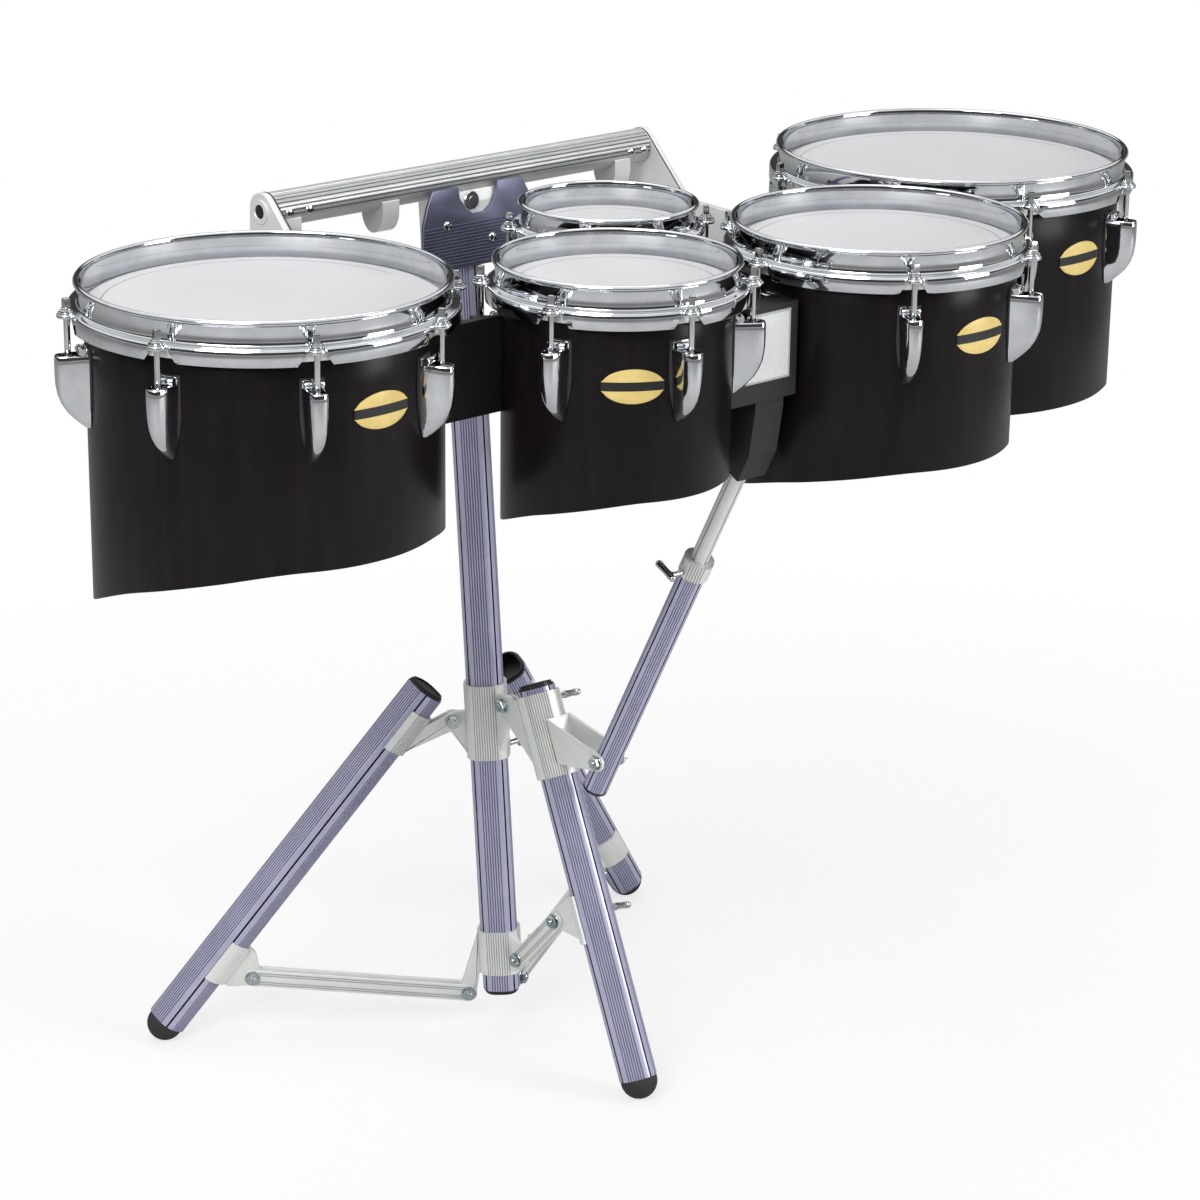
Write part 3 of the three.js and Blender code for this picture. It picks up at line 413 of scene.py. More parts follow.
# share of the scoop's fall at a share of the way from front to back, as a smooth curve through its points
def scoopAt(share):
    share = min(max(share, -1), 1)
    i = next(k for k in range(len(scoop) - 1) if share <= scoop[k + 1][0])
    before, start, end, after = [scoop[min(max(j, 0), len(scoop) - 1)] for j in range(i - 1, i + 3)]
    wide = end[0] - start[0]
    t = (share - start[0]) / wide
    return ((2 * t ** 3 - 3 * t ** 2 + 1) * start[1] + (t ** 3 - 2 * t ** 2 + t) * slopeOf(before, end) * wide
            + (-2 * t ** 3 + 3 * t ** 2) * end[1] + (t ** 3 - t ** 2) * slopeOf(start, after) * wide)


# the wall is spun with a level lower edge, and everything below the bearing edge is then stretched to the scoop
def buildShell(drum):
    bm = bmesh.new()
    outer, inner, low = drum["radius"], drum["radius"] - shellForm["wall"], -drum["front"]
    edge, bevel, soft = -shellForm["edge"], shellForm["bevel"], shellForm["round"]
    profile = [(outer, low + soft), (outer, low * 0.66), (outer, low * 0.33), (outer, edge - bevel / 2),
               (outer - bevel / 2, edge), (inner, edge - bevel), (inner, low * 0.5), (inner, low + soft),
               (inner + soft, low), (outer - soft, low), (outer, low + soft)]
    revolve(bm, profile, shellForm["segments"], marked=range(4, 9))
    start = edge - bevel - 1
    for vert in bm.verts:
        if vert.co.z < start:
            depth = drum["front"] + scoopAt(vert.co.y / outer) * (drum["back"] - drum["front"])
            vert.co.z = start + (vert.co.z - start) * (depth + start) / (drum["front"] + start)
    return bm


hoopForm = {"wallIn": 3.0, "wallOut": 5.3, "flangeTop": 22.0, "flangeLow": 24.4, "skirtIn": 12.0, "skirtOut": 14.3,
            "skirtLow": 37.0, "rodOut": 17.0, "notchFlat": 7.5, "notchEnd": 13.0}
earProfile = [(7.8, -25.2), (8.3, -24.6), (8.3, -22.6), (7.7, -22.0), (3.3, -22.0), (3.3, -25.2), (7.8, -25.2)]


# the hoop is spun with a full skirt, and the skirt's edge is then lifted round each rod
def buildHoop(drum):
    bm = bmesh.new()
    radius, form = drum["radius"], hoopForm
    inside, wall, skirt, out = form["wallIn"], form["wallOut"], form["skirtIn"], form["skirtOut"]
    low, flange, top = -form["skirtLow"], -form["flangeLow"], -form["flangeTop"]
    perRod = 26 if drum["lugs"] == 8 else 24
    profile = [
        (inside, -1.6), (inside, flange + 0.8), (inside + 0.8, flange), (skirt - 0.5, flange), (skirt, flange - 0.6),
        (skirt, low + 0.6), (skirt + 0.6, low), (out - 0.6, low), (out, low + 0.6), (out, flange + 0.2),
        (out - 0.9, top - 0.5), (out - 2.2, top), (7.0, top), (5.9, top + 0.5), (wall, top + 1.8), (wall, -5.6),
        (5.9, -4.9), (7.6, -4.2), (8.2, -3.2), (8.1, -1.8), (7.2, -0.6), (5.8, 0.0), (4.3, -0.2), (3.3, -0.8),
        (inside, -1.6),
    ]
    first, step = math.radians(drum["first"]), 2 * math.pi / drum["lugs"]
    revolve(bm, [(radius + u, z) for u, z in profile], perRod * drum["lugs"], turnBy(first, "Z"))
    for vert in bm.verts:
        if vert.co.z < flange - 0.7:
            turn = (math.atan2(vert.co.y, vert.co.x) - first) % step
            lift = 1 - smoothStep(min(turn, step - turn) * (radius + 14), form["notchFlat"], form["notchEnd"])
            vert.co.z += lift * (form["skirtLow"] - form["flangeLow"] - 1.5)
    for place in lugPlaces(drum, form["rodOut"]):
        revolve(bm, earProfile, 28, place)
    return bm


rodProfile = [(0, -60.5), (2.3, -60.5), (2.7, -59.5), (2.7, -25.4), (2.7, -21.9), (7.0, -21.9), (7.3, -21.4),
              (7.2, -20.6), (5.2, -20.2), (5.6, -19.8), (5.6, -18.9), (4.4, -18.4), (4.4, -17.2), (3.6, -16.8),
              (0, -16.8)]
rodHead = {"half": 2.7, "levels": ((1, -17.0), (1, -10.2), (0.9, -9.2), (0.55, -8.8))}


def buildRods(drum):
    bm = bmesh.new()
    half = rodHead["half"]
    square = boxOutline(-half, half, -half, half)
    for i, place in enumerate(lugPlaces(drum, hoopForm["rodOut"])):
        revolve(bm, rodProfile, 20, place)
        known = set(bm.verts)
        rings = [addRing(bm, [(u * size, v * size, height) for u, v in square]) for size, height in rodHead["levels"]]
        for lower, upper in zip(rings, rings[1:]):
            bridgeRings(bm, lower, upper)
        bm.faces.new(rings[0])
        bm.faces.new(rings[-1])
        placeNew(bm, known, place @ turnBy(math.radians(17 + 31 * i), "Z"))
    return bm


# depth below the lip, reach from the shell and half width of a lug, from its top to its tip
lugLevels = [(57.0, 27.6, 8.8), (58.0, 28.2, 9.4), (64, 28.4, 9.4), (73, 28.4, 9.2), (82, 28.0, 8.8), (91, 26.6, 8.3),
             (99, 23.6, 7.7), (106, 19.2, 7.0), (112, 13.6, 6.2), (117, 8.2, 5.2), (120.5, 3.8, 3.6)]
lugPlate = mirrored([(8, -50.6), (9.2, -52), (9.2, -58)])
lugPin = [(0, -8.4), (3.0, -8.4), (3.5, -7.8), (3.5, 7.8), (3.0, 8.4), (0, 8.4)]


def buildLugs(drum):
    bm = bmesh.new()
    for place in lugPlaces(drum):
        known = set(bm.verts)
        rings = []
        for z, reach, half in lugLevels:
            nose = half * 0.74
            roundSide, roundNose = min(3.2, reach * 0.4), min(1.2, reach * 0.15)
            side = [(0.8, half), (reach * 0.5, half * 0.9), (reach - roundSide, nose),
                    (reach - roundNose, nose * 0.72), (reach, nose * 0.3)]
            rings.append(addRing(bm, [(u, v, -z) for u, v in side + [(u, -v) for u, v in reversed(side)]]))
        inset = addRing(bm, [(2.2 + (v.co.x - 0.8) * 0.88, v.co.y * 0.8, v.co.z) for v in rings[0]])
        sunk = addRing(bm, [(v.co.x, v.co.y, v.co.z - 2.4) for v in inset])
        stack = [sunk, inset] + rings
        for upper, lower in zip(stack, stack[1:]):
            bridgeRings(bm, upper, lower)
        bm.faces.new(sunk)
        bm.faces.new(rings[-1])
        placeNew(bm, known, place)
        plateXZ(bm, lugPlate, 2.0, place @ shiftBy(2.2, 0, 0) @ turnBy(halfPi, "Z"), 0.4)
        revolve(bm, lugPin, 20, place @ shiftBy(6.2, 0, -54.2) @ turnBy(halfPi, "X"))
    return bm


gasketOutline = mirrored([(10.4, -50.2), (10.6, -84), (9, -98), (6.2, -110), (3.4, -114)])


def buildGaskets(drum):
    bm = bmesh.new()
    for place in lugPlaces(drum, 0.1):
        plateXZ(bm, gasketOutline, 2.2, place @ turnBy(halfPi, "Z"), 0.5)
    return bm


headForm = {"segments": 160, "level": -22.0, "lineOut": 13.5, "lineIn": 14.8, "edge": 2.4}


def buildHead(drum):
    bm = bmesh.new()
    radius, level, edge = drum["radius"], headForm["level"], drum["radius"] + headForm["edge"]
    profile = [(0, level), (radius * 0.45, level), (radius - headForm["lineIn"], level),
               (radius - headForm["lineOut"], level), (radius - 4.6, level), (radius - 2.4, -21.9),
               (radius - 0.6, -22.6), (edge - 0.2, -24.2), (edge, -25.0), (edge - 0.6, -25.2), (radius - 0.9, -23.6),
               (radius - 2.6, -22.9), (0, -22.9)]
    # span 2, from lineIn to lineOut, takes that darker ring of painted hoop shadow and reflection
    revolve(bm, profile, headForm["segments"], marked=[2])
    return bm


fleshProfile = [(1.3, -25.6), (1.3, -33.2), (1.9, -33.8), (9.8, -33.8), (10.3, -33.2), (10.3, -25.6), (9.8, -25.0),
                (1.9, -25.0), (1.3, -25.6)]


def buildFleshHoop(drum):
    bm = bmesh.new()
    revolve(bm, [(drum["radius"] + u, z) for u, z in fleshProfile], headForm["segments"])
    return bm


badgeForm = {"columns": 30, "band": 0.135, "lifts": (0.2, 1.0, 1.3), "face": 0.97}


# an oval bent round the shell: a flat edge, an eased face and a straight black band across it
def buildBadge(drum):
    azimuth, drop, wide, high = drum["badge"]
    bm = bmesh.new()
    columns, band = badgeForm["columns"], high * badgeForm["band"]

    def gridAt(lift, share):
        out = drum["radius"] + lift
        grid = []
        for i in range(columns + 1):
            s = -1 + 2 * i / columns
            lens = max(high / 2 * math.sqrt(1 - s * s), band)
            a = s * wide / 2 * share / drum["radius"]
            heights = [-lens, -(lens + band) / 2, -band, 0, band, (lens + band) / 2, lens]
            grid.append([(*circlePoint(out, a), -drop + z * share) for z in heights])
        return grid

    def border(grid):
        up = len(grid[0]) - 1
        return ([column[0] for column in grid] + grid[-1][1:up] + [column[up] for column in reversed(grid)]
                + grid[0][up - 1:0:-1])

    back, rim, face = badgeForm["lifts"]
    top = [addRing(bm, column) for column in gridAt(face, badgeForm["face"])]
    for near, far in zip(top, top[1:]):
        for j in range(len(near) - 1):
            bm.faces.new((near[j], far[j], far[j + 1], near[j + 1]))
    rings = [addRing(bm, border(gridAt(back, 1.0))), addRing(bm, border(gridAt(rim, 1.0))), border(top)]
    bridgeRings(bm, rings[0], rings[1])
    bridgeRings(bm, rings[1], rings[2])
    bm.faces.new(rings[0])
    for part in bm.faces:
        part.material_index = int(abs(part.calc_center_median().z + drop) <= band)
    bmesh.ops.remove_doubles(bm, verts=bm.verts, dist=0.01)
    bmesh.ops.transform(bm, matrix=turnBy(math.radians(azimuth), "Z"), verts=bm.verts)
    return bm


for name, drum in drumSizes.items():
    place = toRow @ shiftBy(drum["x"], drum["y"], lip)
    shell, hoop, head = name + "_shell", name + "_hoop", name + "_head"
    dressNode(name + "_lacquered_shell", buildShell(drum), [maple, mapleInside], "drum_set", shell, 50, place)
    makePiece(name + "_lug_casings", buildLugs(drum), chrome, "drum_set", 40, place)
    makePiece(name + "_lug_gaskets", buildGaskets(drum), rubber, "drum_set", 40, place)
    dressNode(name + "_chrome_hoop", buildHoop(drum), chrome, "drum_set", hoop, 50, place)
    makePiece(name + "_tension_rods", buildRods(drum), nickel, "drum_set", 40, place)
    dressNode(name + "_film", buildHead(drum), [film, hoopShadeOnFilm], "drum_set", head, 40, place)
    makePiece(name + "_flesh_hoop", buildFleshHoop(drum), silver, "drum_set", 40, place)
    if drum["badge"]:
        makePiece(name + "_badge", buildBadge(drum), [badgeGold, capPlastic], "drum_set", 40, place)
print("drums ready")

# stand: the leaning mast, each leg's plane and each leg's own frame at its hinge
standForm = {"back": 66.8, "rise": 37.4, "lean": math.asin(0.0857), "hubLow": 252.0, "hubTall": 76.0,
             "collarLow": 26.0, "collarTall": 45.0, "mastLow": 8.0, "mastTop": 744.1, "hinge": 34.0, "wingFoot": 13.6,
             "footMiddle": 16.2}
lean, hinge = standForm["lean"], standForm["hinge"]
stand = toRow @ shiftBy(0, -standForm["back"], standForm["rise"]) @ turnBy(-lean, "X")
sleeveHalf, sleeveFace = 19.4, 20.9
farLeg = {"hingeUp": 291.0, "out": 40.0, "cap": 8.0, "sleeve": (12.0, 58.0), "wrap": 1.5, "bracketIn": 1.0,
          "bracketLong": 46.0, "lugUp": 5.0}
legForms = {
    "left": {**farLeg, "azimuth": 144, "reach": 339.7, "bracketUp": 92.0},
    "near": {"azimuth": 270, "hingeUp": 311.0, "out": 50.0, "reach": 203.2, "cap": 10.0, "sleeve": (-5.0, 77.0),
             "wrap": None, "bracketUp": 167.9, "bracketIn": 8.0, "bracketLong": 48.0, "lugUp": 46.0},
    "back": {**farLeg, "azimuth": 28, "reach": 362.4, "bracketUp": 92.4},
}
for leg in legForms.values():
    azimuth = math.radians(leg["azimuth"])
    footBack = leg["reach"] * math.sin(azimuth)
    footUp = (standForm["footMiddle"] - standForm["rise"] + footBack * math.sin(lean)) / math.cos(lean)
    reach, drop = leg["reach"] - hinge, leg["hingeUp"] - footUp
    leg["pitch"] = math.atan2(drop, reach) + math.asin(leg["out"] / math.hypot(reach, drop))
    leg["along"] = math.sqrt(reach ** 2 + drop ** 2 - leg["out"] ** 2)
    leg["bracketAt"] = leg["along"] - leg["bracketUp"]
    leg["plane"] = stand @ turnBy(azimuth, "Z")
    leg["place"] = leg["plane"] @ shiftBy(hinge, 0, leg["hingeUp"]) @ turnBy(leg["pitch"], "Y")


# points and slots of a rounded square on its corner. Lines of (place along a panel, width, depth, slot) are cut into
# each panel, and a line of (width, depth, slot) into each corner
def ribbedSection(half, corner, lines=(), cornerLine=(0, 0, 0), turn=math.pi / 4, step=1.4):
    flat = half - corner
    end = flat + corner * math.pi / 4
    cornerWide, cornerDeep, cornerSlot = cornerLine

    def surface(s, depth):
        side, s = (1 if s >= 0 else -1), abs(s)
        bend = max(s - flat, 0) / corner
        return side * (min(s, flat) + (corner - depth) * math.sin(bend)), flat + (corner - depth) * math.cos(bend)

    stops = [(-end, cornerDeep, cornerSlot)]
    if cornerWide:
        stops += [(-end + cornerWide / 4, cornerDeep, cornerSlot), (-end + cornerWide / 2, 0, 0)]
    for centre, wide, deep, slot in lines:
        stops += [(centre - wide / 2, 0, slot), (centre - wide / 4, deep, slot), (centre + wide / 4, deep, slot),
                  (centre + wide / 2, 0, 0)]
    if cornerWide:
        stops += [(end - cornerWide / 2, 0, cornerSlot), (end - cornerWide / 4, cornerDeep, cornerSlot)]
    panel = []
    for stop, following in zip(stops, stops[1:] + [(end, cornerDeep, 0)]):
        panel.append(stop)
        gap = following[0] - stop[0]
        if stop[1] == following[1] == 0 and gap > step:
            parts = math.ceil(gap / step)
            panel += [(stop[0] + gap * k / parts, 0, stop[2]) for k in range(1, parts)]
    points, slots = [], []
    for side in range(4):
        c, d = math.cos(turn + side * halfPi), math.sin(turn + side * halfPi)
        for s, depth, slot in panel:
            u, v = surface(s, depth)
            points.append((v * c - u * d, v * d + u * c))
            slots.append(slot)
    return points, slots


# the run of a section below a height, with its ends cut straight
def sectionBelow(points, slots, height):
    count = len(points)
    start = next(i for i in range(count) if points[i][1] <= height < points[i - 1][1])

    def crossing(a, b):
        t = (height - a[1]) / (b[1] - a[1])
        return a[0] + (b[0] - a[0]) * t, height

    run, kinds = [crossing(points[start - 1], points[start])], [0]
    i = start
    while points[i % count][1] <= height:
        run.append(points[i % count])
        kinds.append(slots[i % count])
        i += 1
    return run + [crossing(points[(i - 1) % count], points[i % count])], kinds + [0]


def evenLines(count, pitch, wide, deep, slot):
    return [((k - (count - 1) / 2) * pitch, wide, deep, slot) for k in range(count)]


tubeHalf, tubeCorner, tubeWall = 18.2, 14.4, 2.4
# the panel lines take slot 2 and the corner lines slot 1, the darker materials with painted shade in the grooves
tubeOutline = ribbedSection(tubeHalf, tubeCorner, evenLines(7, 2.5, 1.25, 0.5, 2), (1.9, 1.5, 1))
tubeInside = ribbedSection(tubeHalf - tubeWall, tubeCorner - tubeWall, step=4)[0]
sleeveOutline = ribbedSection(21.1, 17.3, evenLines(10, 2.45, 1.0, 0.4, 1))
plainSleeve = ribbedSection(21.1, 17.3)
sleeveInside = ribbedSection(tubeHalf + 0.3, tubeCorner + 0.3, step=3)[0]


def addTube(bm, start, end, matrix):
    sweepX(bm, tubeOutline[0], start, end, matrix, tubeInside, tubeOutline[1])


# a sleeve goes all the way round its tube, or up to the wrap height
def addSleeve(bm, start, end, matrix, wrap=None, outline=sleeveOutline):
    if wrap is None:
        sweepX(bm, outline[0], start, end, matrix, sleeveInside, outline[1])
        return
    run, slots = sectionBelow(*outline, wrap)
    inner = sectionBelow(sleeveInside, [0] * len(sleeveInside), wrap)[0]
    sweepX(bm, run + inner[::-1], start, end, matrix, None, slots)


def addNut(bm, matrix):
    revolve(bm, [(0, 0), (7.4, 0), (7.6, 0.25), (7.6, 0.9), (7.3, 1.2), (0, 1.2)], 24, matrix)
    revolve(bm, [(0, 1.1), (5.9, 1.1), (6.5, 1.7), (6.5, 4.7), (5.7, 5.4), (0, 5.4)], 6, matrix)
    revolve(bm, [(0, 5.3), (3.3, 5.3), (3.3, 6.3), (2.7, 6.9), (0, 6.9)], 16, matrix)


# nuts on both outer faces of a pivot at local (x, z)
def addNutPair(bm, x, z, half, matrix):
    for side in (-1, 1):
        addNut(bm, matrix @ shiftBy(x, side * half, z) @ turnBy(-side * halfPi, "X"))


# plate round some circles at local y, cut straight at a low or high end of local x (axis 0) or z (axis 1)
def addPlate(bm, circles, thick, y, matrix, axis=0, low=-math.inf, high=math.inf):
    outline = []
    for point in hullOutline(circles):
        value = min(max(point[axis], low), high)
        outline.append((value, point[1]) if axis == 0 else (point[0], value))
    outline = [p for i, p in enumerate(outline) if math.dist(p, outline[i - 1]) > 0.02]
    plateXZ(bm, outline, thick, matrix @ shiftBy(0, y, 0), 0.7)


# mast and its lower plug
# near black for faces inside recesses and bores: painted shade
hollowShade = matteMoulding("painted shade in hollows", ("#080808", "#0e0d0e"), 0.6, 500, 0.0001)
mastAxis = stand @ turnBy(-halfPi, "Y")
bm = bmesh.new()
addTube(bm, standForm["mastLow"], standForm["mastTop"], mastAxis)
dressNode("ribbed_mast", bm, lilacTube, "mast", "mast")


# plug in a tube's end: a stepped rim round a flat face, or round a hollow, with near-black painted shade on faces
# inside the recess
def addCap(bm, matrix, hollow):
    def inset(by):
        return ribbedSection(tubeHalf - by, tubeCorner - by, step=2)[0]

    inner = inset(4.2)
    sweepX(bm, inset(1.0), -2.2, 0, matrix, inner)
    sweepX(bm, inset(2.6), -4.4, -2.2, matrix, inner)
    sweepX(bm, inner, 9.0 if hollow else -3.0, 10.0, matrix, None, repeat(1))
    sweepX(bm, inset(2.8), -0.1, 10.0, matrix, inner, repeat(1))


bm = bmesh.new()
addCap(bm, mastAxis @ shiftBy(standForm["mastLow"], 0, 0), False)
dressNode("mast_end_cap", bm, [capPlastic, hollowShade], "mast", "mast_cap")

# hub and lower collar: ribbed sleeves with wings, and nuts on the hinges
eyeHalf, hubEye, hubNut, wingThick = 9, 8.6, 6.7, 6
foot, hubLow, collarLow = standForm["wingFoot"], standForm["hubLow"], standForm["collarLow"]
hubBm, collarBm, hubNuts = bmesh.new(), bmesh.new(), bmesh.new()
addSleeve(hubBm, hubLow, hubLow + standForm["hubTall"], mastAxis)
addSleeve(collarBm, collarLow, collarLow + standForm["collarTall"], mastAxis)
for leg in legForms.values():
    plane, hingeUp = leg["plane"], leg["hingeUp"]
    addPlate(hubBm, [(hinge, hingeUp, hubEye), (foot, hingeUp, hubEye), (foot, hubLow + 9, hubEye)], wingThick, 0,
             plane, low=sleeveFace)
    addNutPair(hubNuts, hinge, hingeUp, hubNut, plane)
    addPlate(collarBm, [(hinge, leg["lugUp"], eyeHalf), (foot, collarLow + 9, eyeHalf),
                        (foot, collarLow + 36, eyeHalf)], wingThick, 0, plane, low=sleeveFace)
dressNode("ribbed_hub", hubBm, ribbedSilver, "tripod_hub", "hub")
makePiece("hub_hinge_nuts", hubNuts, zinc, "tripod_hub")
dressNode("ribbed_collar", collarBm, ribbedSilver, "lower_collar", "collar")

cheekThick, cheekOut, cheekFoot = 3, 4.9, 1.3
braceForm = {"eye": 8.5, "thick": 4, "across": 5.4, "nut": 7.4, "lines": (-5.6, -3.4, 3.4, 5.6), "lineOut": 7.5}
footRadius = 18.0
footProfile = [circlePoint(footRadius, halfPi - halfPi * i / 12) for i in range(12)]
footProfile += [(footRadius, 0), (footRadius, -2.0), (17.5, -2.6), (12, -2.6), (12, -16), (0, -16)]

# legs: ribbed tubes, hollow caps, domed feet, hinged sleeves, brackets and double-bar braces
for name, leg in legForms.items():
    place, out, along, bracketAt = leg["place"], leg["out"], leg["along"], leg["bracketAt"]
    axis = place @ shiftBy(0, 0, out)
    legBody = "leg_" + name
    bm = bmesh.new()
    addTube(bm, -leg["cap"], along - 4.3, axis)
    dressNode(f"ribbed_leg_{name}", bm, lilacTube, legBody, "leg_" + name)
    bm = bmesh.new()
    addCap(bm, axis @ shiftBy(-leg["cap"], 0, 0), name == "back")
    dressNode(f"hollow_cap_{name}", bm, [capPlastic, hollowShade], legBody, "leg_cap_" + name)

    bm = bmesh.new()
    revolve(bm, footProfile, 48, axis @ shiftBy(along - 1.5, 0, 0) @ turnBy(halfPi, "Y"))
    for vert in bm.verts:
        vert.co.z = max(vert.co.z, cadLow.z / mm)
        vert.co.y = min(vert.co.y, cadHigh.y / mm)
    bmesh.ops.remove_doubles(bm, verts=bm.verts, dist=0.002)
    dressNode(f"domed_foot_{name}", bm, rubber, legBody, "foot_" + name, 40)

    bm = bmesh.new()
    start, end = leg["sleeve"]
    addSleeve(bm, start, end, axis, leg["wrap"])
    ringFoot = out - sleeveHalf + cheekFoot
    for side in (-1, 1):
        addPlate(bm, [(0, 0, eyeHalf), (start + 9, ringFoot, cheekFoot), (end - 4.5, ringFoot, cheekFoot)],
                 cheekThick, side * cheekOut, place, 1, high=out - sleeveFace)
    dressNode(f"hinged_sleeve_{name}", bm, ribbedSilver, "near_sleeve" if name == "near" else legBody,
              "sleeve_" + name)

    bm = bmesh.new()
    low, high = bracketAt - leg["bracketLong"] / 2, bracketAt + leg["bracketLong"] / 2
    addSleeve(bm, low, high, axis, 0.6, plainSleeve)
    root = ringFoot - 6.4
    eye = (bracketAt, -leg["bracketIn"])
    addPlate(bm, [(*eye, eyeHalf), (low + eyeHalf, root, eyeHalf), (high - eyeHalf, root, eyeHalf)], wingThick, 0,
             place, 1, high=out - sleeveFace)
    dressNode(f"leg_bracket_{name}", bm, ribbedSilver, "near_bracket" if name == "near" else legBody,
              "bracket_" + name)

    lugPoint = place.inverted() @ (leg["plane"] @ Vector((hinge, 0, leg["lugUp"])))
    lug = (lugPoint.x, lugPoint.z)
    reach, slope = math.dist(eye, lug), math.atan2(lug[1] - eye[1], lug[0] - eye[0])
    bm, nuts = bmesh.new(), bmesh.new()
    for side in (-1, 1):
        addPlate(bm, [(*eye, braceForm["eye"]), (*lug, braceForm["eye"])], braceForm["thick"],
                 side * braceForm["across"], place)
        lines = place @ shiftBy(eye[0], side * braceForm["lineOut"], eye[1]) @ turnBy(-slope, "Y")
        # the thin lines on each bar take the darker silver, painted shade of grooves
        for lift in braceForm["lines"]:
            plateXZ(bm, boxOutline(4, reach - 4, lift - 0.5, lift + 0.5), 0.5, lines, 0, 1, 1)
    for x, z in (eye, lug):
        addNutPair(nuts, x, z, braceForm["nut"], place)
    dressNode(f"double_brace_{name}", bm, ribbedSilver, "brace_" + name, "brace_" + name)
    makePiece(f"brace_nuts_{name}", nuts, zinc, "brace_" + name)
print("legs ready")

# prop strut, from a pivot on the near sleeve up to the box with the label
near = legForms["near"]
strutForm = {"pivotAt": 70.4, "pivotOut": 60.6, "tip": (-406.2, -180.5), "inner": 154.0, "tail": 36.0,
             "overlap": 100.0, "bracket": (22.3, 63.3), "bracketHalf": 13.9, "nutHalf": 15.4}
nearTop = near["out"] + sleeveHalf
pivotX, pivotZ = strutForm["pivotAt"], nearTop + strutForm["pivotOut"]
toNear = near["plane"].inverted()
strutRoot = toNear @ (near["place"] @ Vector((pivotX, 0, pivotZ)))
tipY, tipBelow = strutForm["tip"]
strutWay = toNear @ (toRow @ Vector((0, tipY, lip + tipBelow))) - strutRoot
strutLong = math.hypot(strutWay.x, strutWay.z)
strut = near["plane"] @ shiftBy(*strutRoot) @ turnBy(-math.atan2(strutWay.z, strutWay.x), "Y")
outerLong, tail = strutLong - strutForm["inner"], strutForm["tail"]
strutOutline = ribbedSection(12.25, 11.9, evenLines(5, 2.2, 1.0, 0.35, 2), (1.5, 1.1, 1))
strutInside = ribbedSection(10.0, 9.6, step=3)[0]
innerOutline = ribbedSection(8.0, 6.9, [(0, 1.6, 0.6, 1)], turn=0)
collarOutline = ribbedSection(14.2, 12.6, evenLines(6, 2.6, 1.0, 0.4, 1))
bm = bmesh.new()
sweepX(bm, strutOutline[0], -tail, outerLong, strut, strutInside, strutOutline[1])
dressNode("ribbed_strut_tube", bm, lilacTube, "strut_outer", "strut_outer")
bm = bmesh.new()
sweepX(bm, ribbedSection(12.2, 11.9, step=2)[0], -tail - 3, -tail, strut)
sweepX(bm, strutInside, -tail - 0.2, -tail + 10, strut)
makePiece("strut_end_cap", bm, capPlastic, "strut_outer")
bm = bmesh.new()
sweepX(bm, innerOutline[0], outerLong - strutForm["overlap"], strutLong, strut, None, innerOutline[1])
dressNode("strut_inner_tube", bm, ribbedSilver, "strut_inner", "strut_inner")
bm = bmesh.new()
wideBore, smallBore = ribbedSection(12.5, 12.1, step=3)[0], ribbedSection(8.3, 7.1, turn=0, step=3)[0]
for start, end, bore in ((-5, 0, wideBore), (0, 13.3, smallBore)):
    sweepX(bm, collarOutline[0], outerLong + start, outerLong + end, strut, bore, collarOutline[1])
dressNode("strut_clamp_collar", bm, ribbedSilver, "strut_outer", "strut_collar")

bm, nuts = bmesh.new(), bmesh.new()
low, high = strutForm["bracket"]
seat = nearTop + 1.8
for side in (-1, 1):
    addPlate(bm, [(pivotX, pivotZ, eyeHalf), (low, seat, 1.5), (high, seat, 1.5)], cheekThick,
             side * strutForm["bracketHalf"], near["place"])
half = strutForm["nutHalf"]
plateXZ(bm, boxOutline(low - 1.5, high + 1.5, -half, half), cheekThick,
        near["place"] @ shiftBy(0, 0, seat) @ turnBy(halfPi, "X"), 0.8)
addNutPair(nuts, pivotX, pivotZ, half, near["place"])
dressNode("strut_pivot_bracket", bm, ribbedSilver, "near_sleeve", "strut_bracket")
shaft = [(0, -15.6), (3.3, -15.6), (3.3, 15.6), (0, 15.6)]
revolve(nuts, shaft, 20, near["place"] @ shiftBy(pivotX, 0, pivotZ) @ turnBy(halfPi, "X"))
makePiece("strut_pivot_nuts", nuts, zinc, "near_sleeve")

leverForm = {"half": 13.5, "radius": 3.5, "waist": 3.1, "out": 15.0, "up": 6.75}
leverScrew = [(0, 0.3), (2.9, 0.3), (2.9, 11), (3.6, 11.6), (3.6, 15.6), (2.8, 16.6), (0, 16.6)]


# clamp levers: a screw with a rounded bar across it
def addLever(name, matrix):
    bm = bmesh.new()
    revolve(bm, leverScrew, 24, matrix @ turnBy(halfPi, "Y"))
    half, radius = leverForm["half"], leverForm["radius"]
    turns = [halfPi * i / 5 for i in range(6)]
    bar = [(radius * math.sin(a), radius - half - radius * math.cos(a)) for a in turns]
    bar += [(leverForm["waist"], 0)] + [(r, -z) for r, z in reversed(bar)]
    revolve(bm, bar, 24, matrix @ shiftBy(leverForm["out"], 0, leverForm["up"]))
    dressNode(name + "_bar", bm, nickel, name, name, 40)


quarter = turnBy(halfPi, "Z")
addLever("lever_hub", stand @ shiftBy(sleeveHalf, -8, hubLow + 9))
addLever("lever_collar", stand @ shiftBy(sleeveHalf, -8, collarLow + 9))
addLever("lever_near_sleeve", near["place"] @ shiftBy(4, sleeveHalf, 50) @ quarter)
addLever("lever_near_bracket", near["place"] @ shiftBy(near["bracketAt"], sleeveHalf, 42) @ quarter)
addLever("lever_strut", strut @ shiftBy(outerLong, -15.4, 0) @ turnBy(-halfPi, "Z"))
print("strut and levers ready")

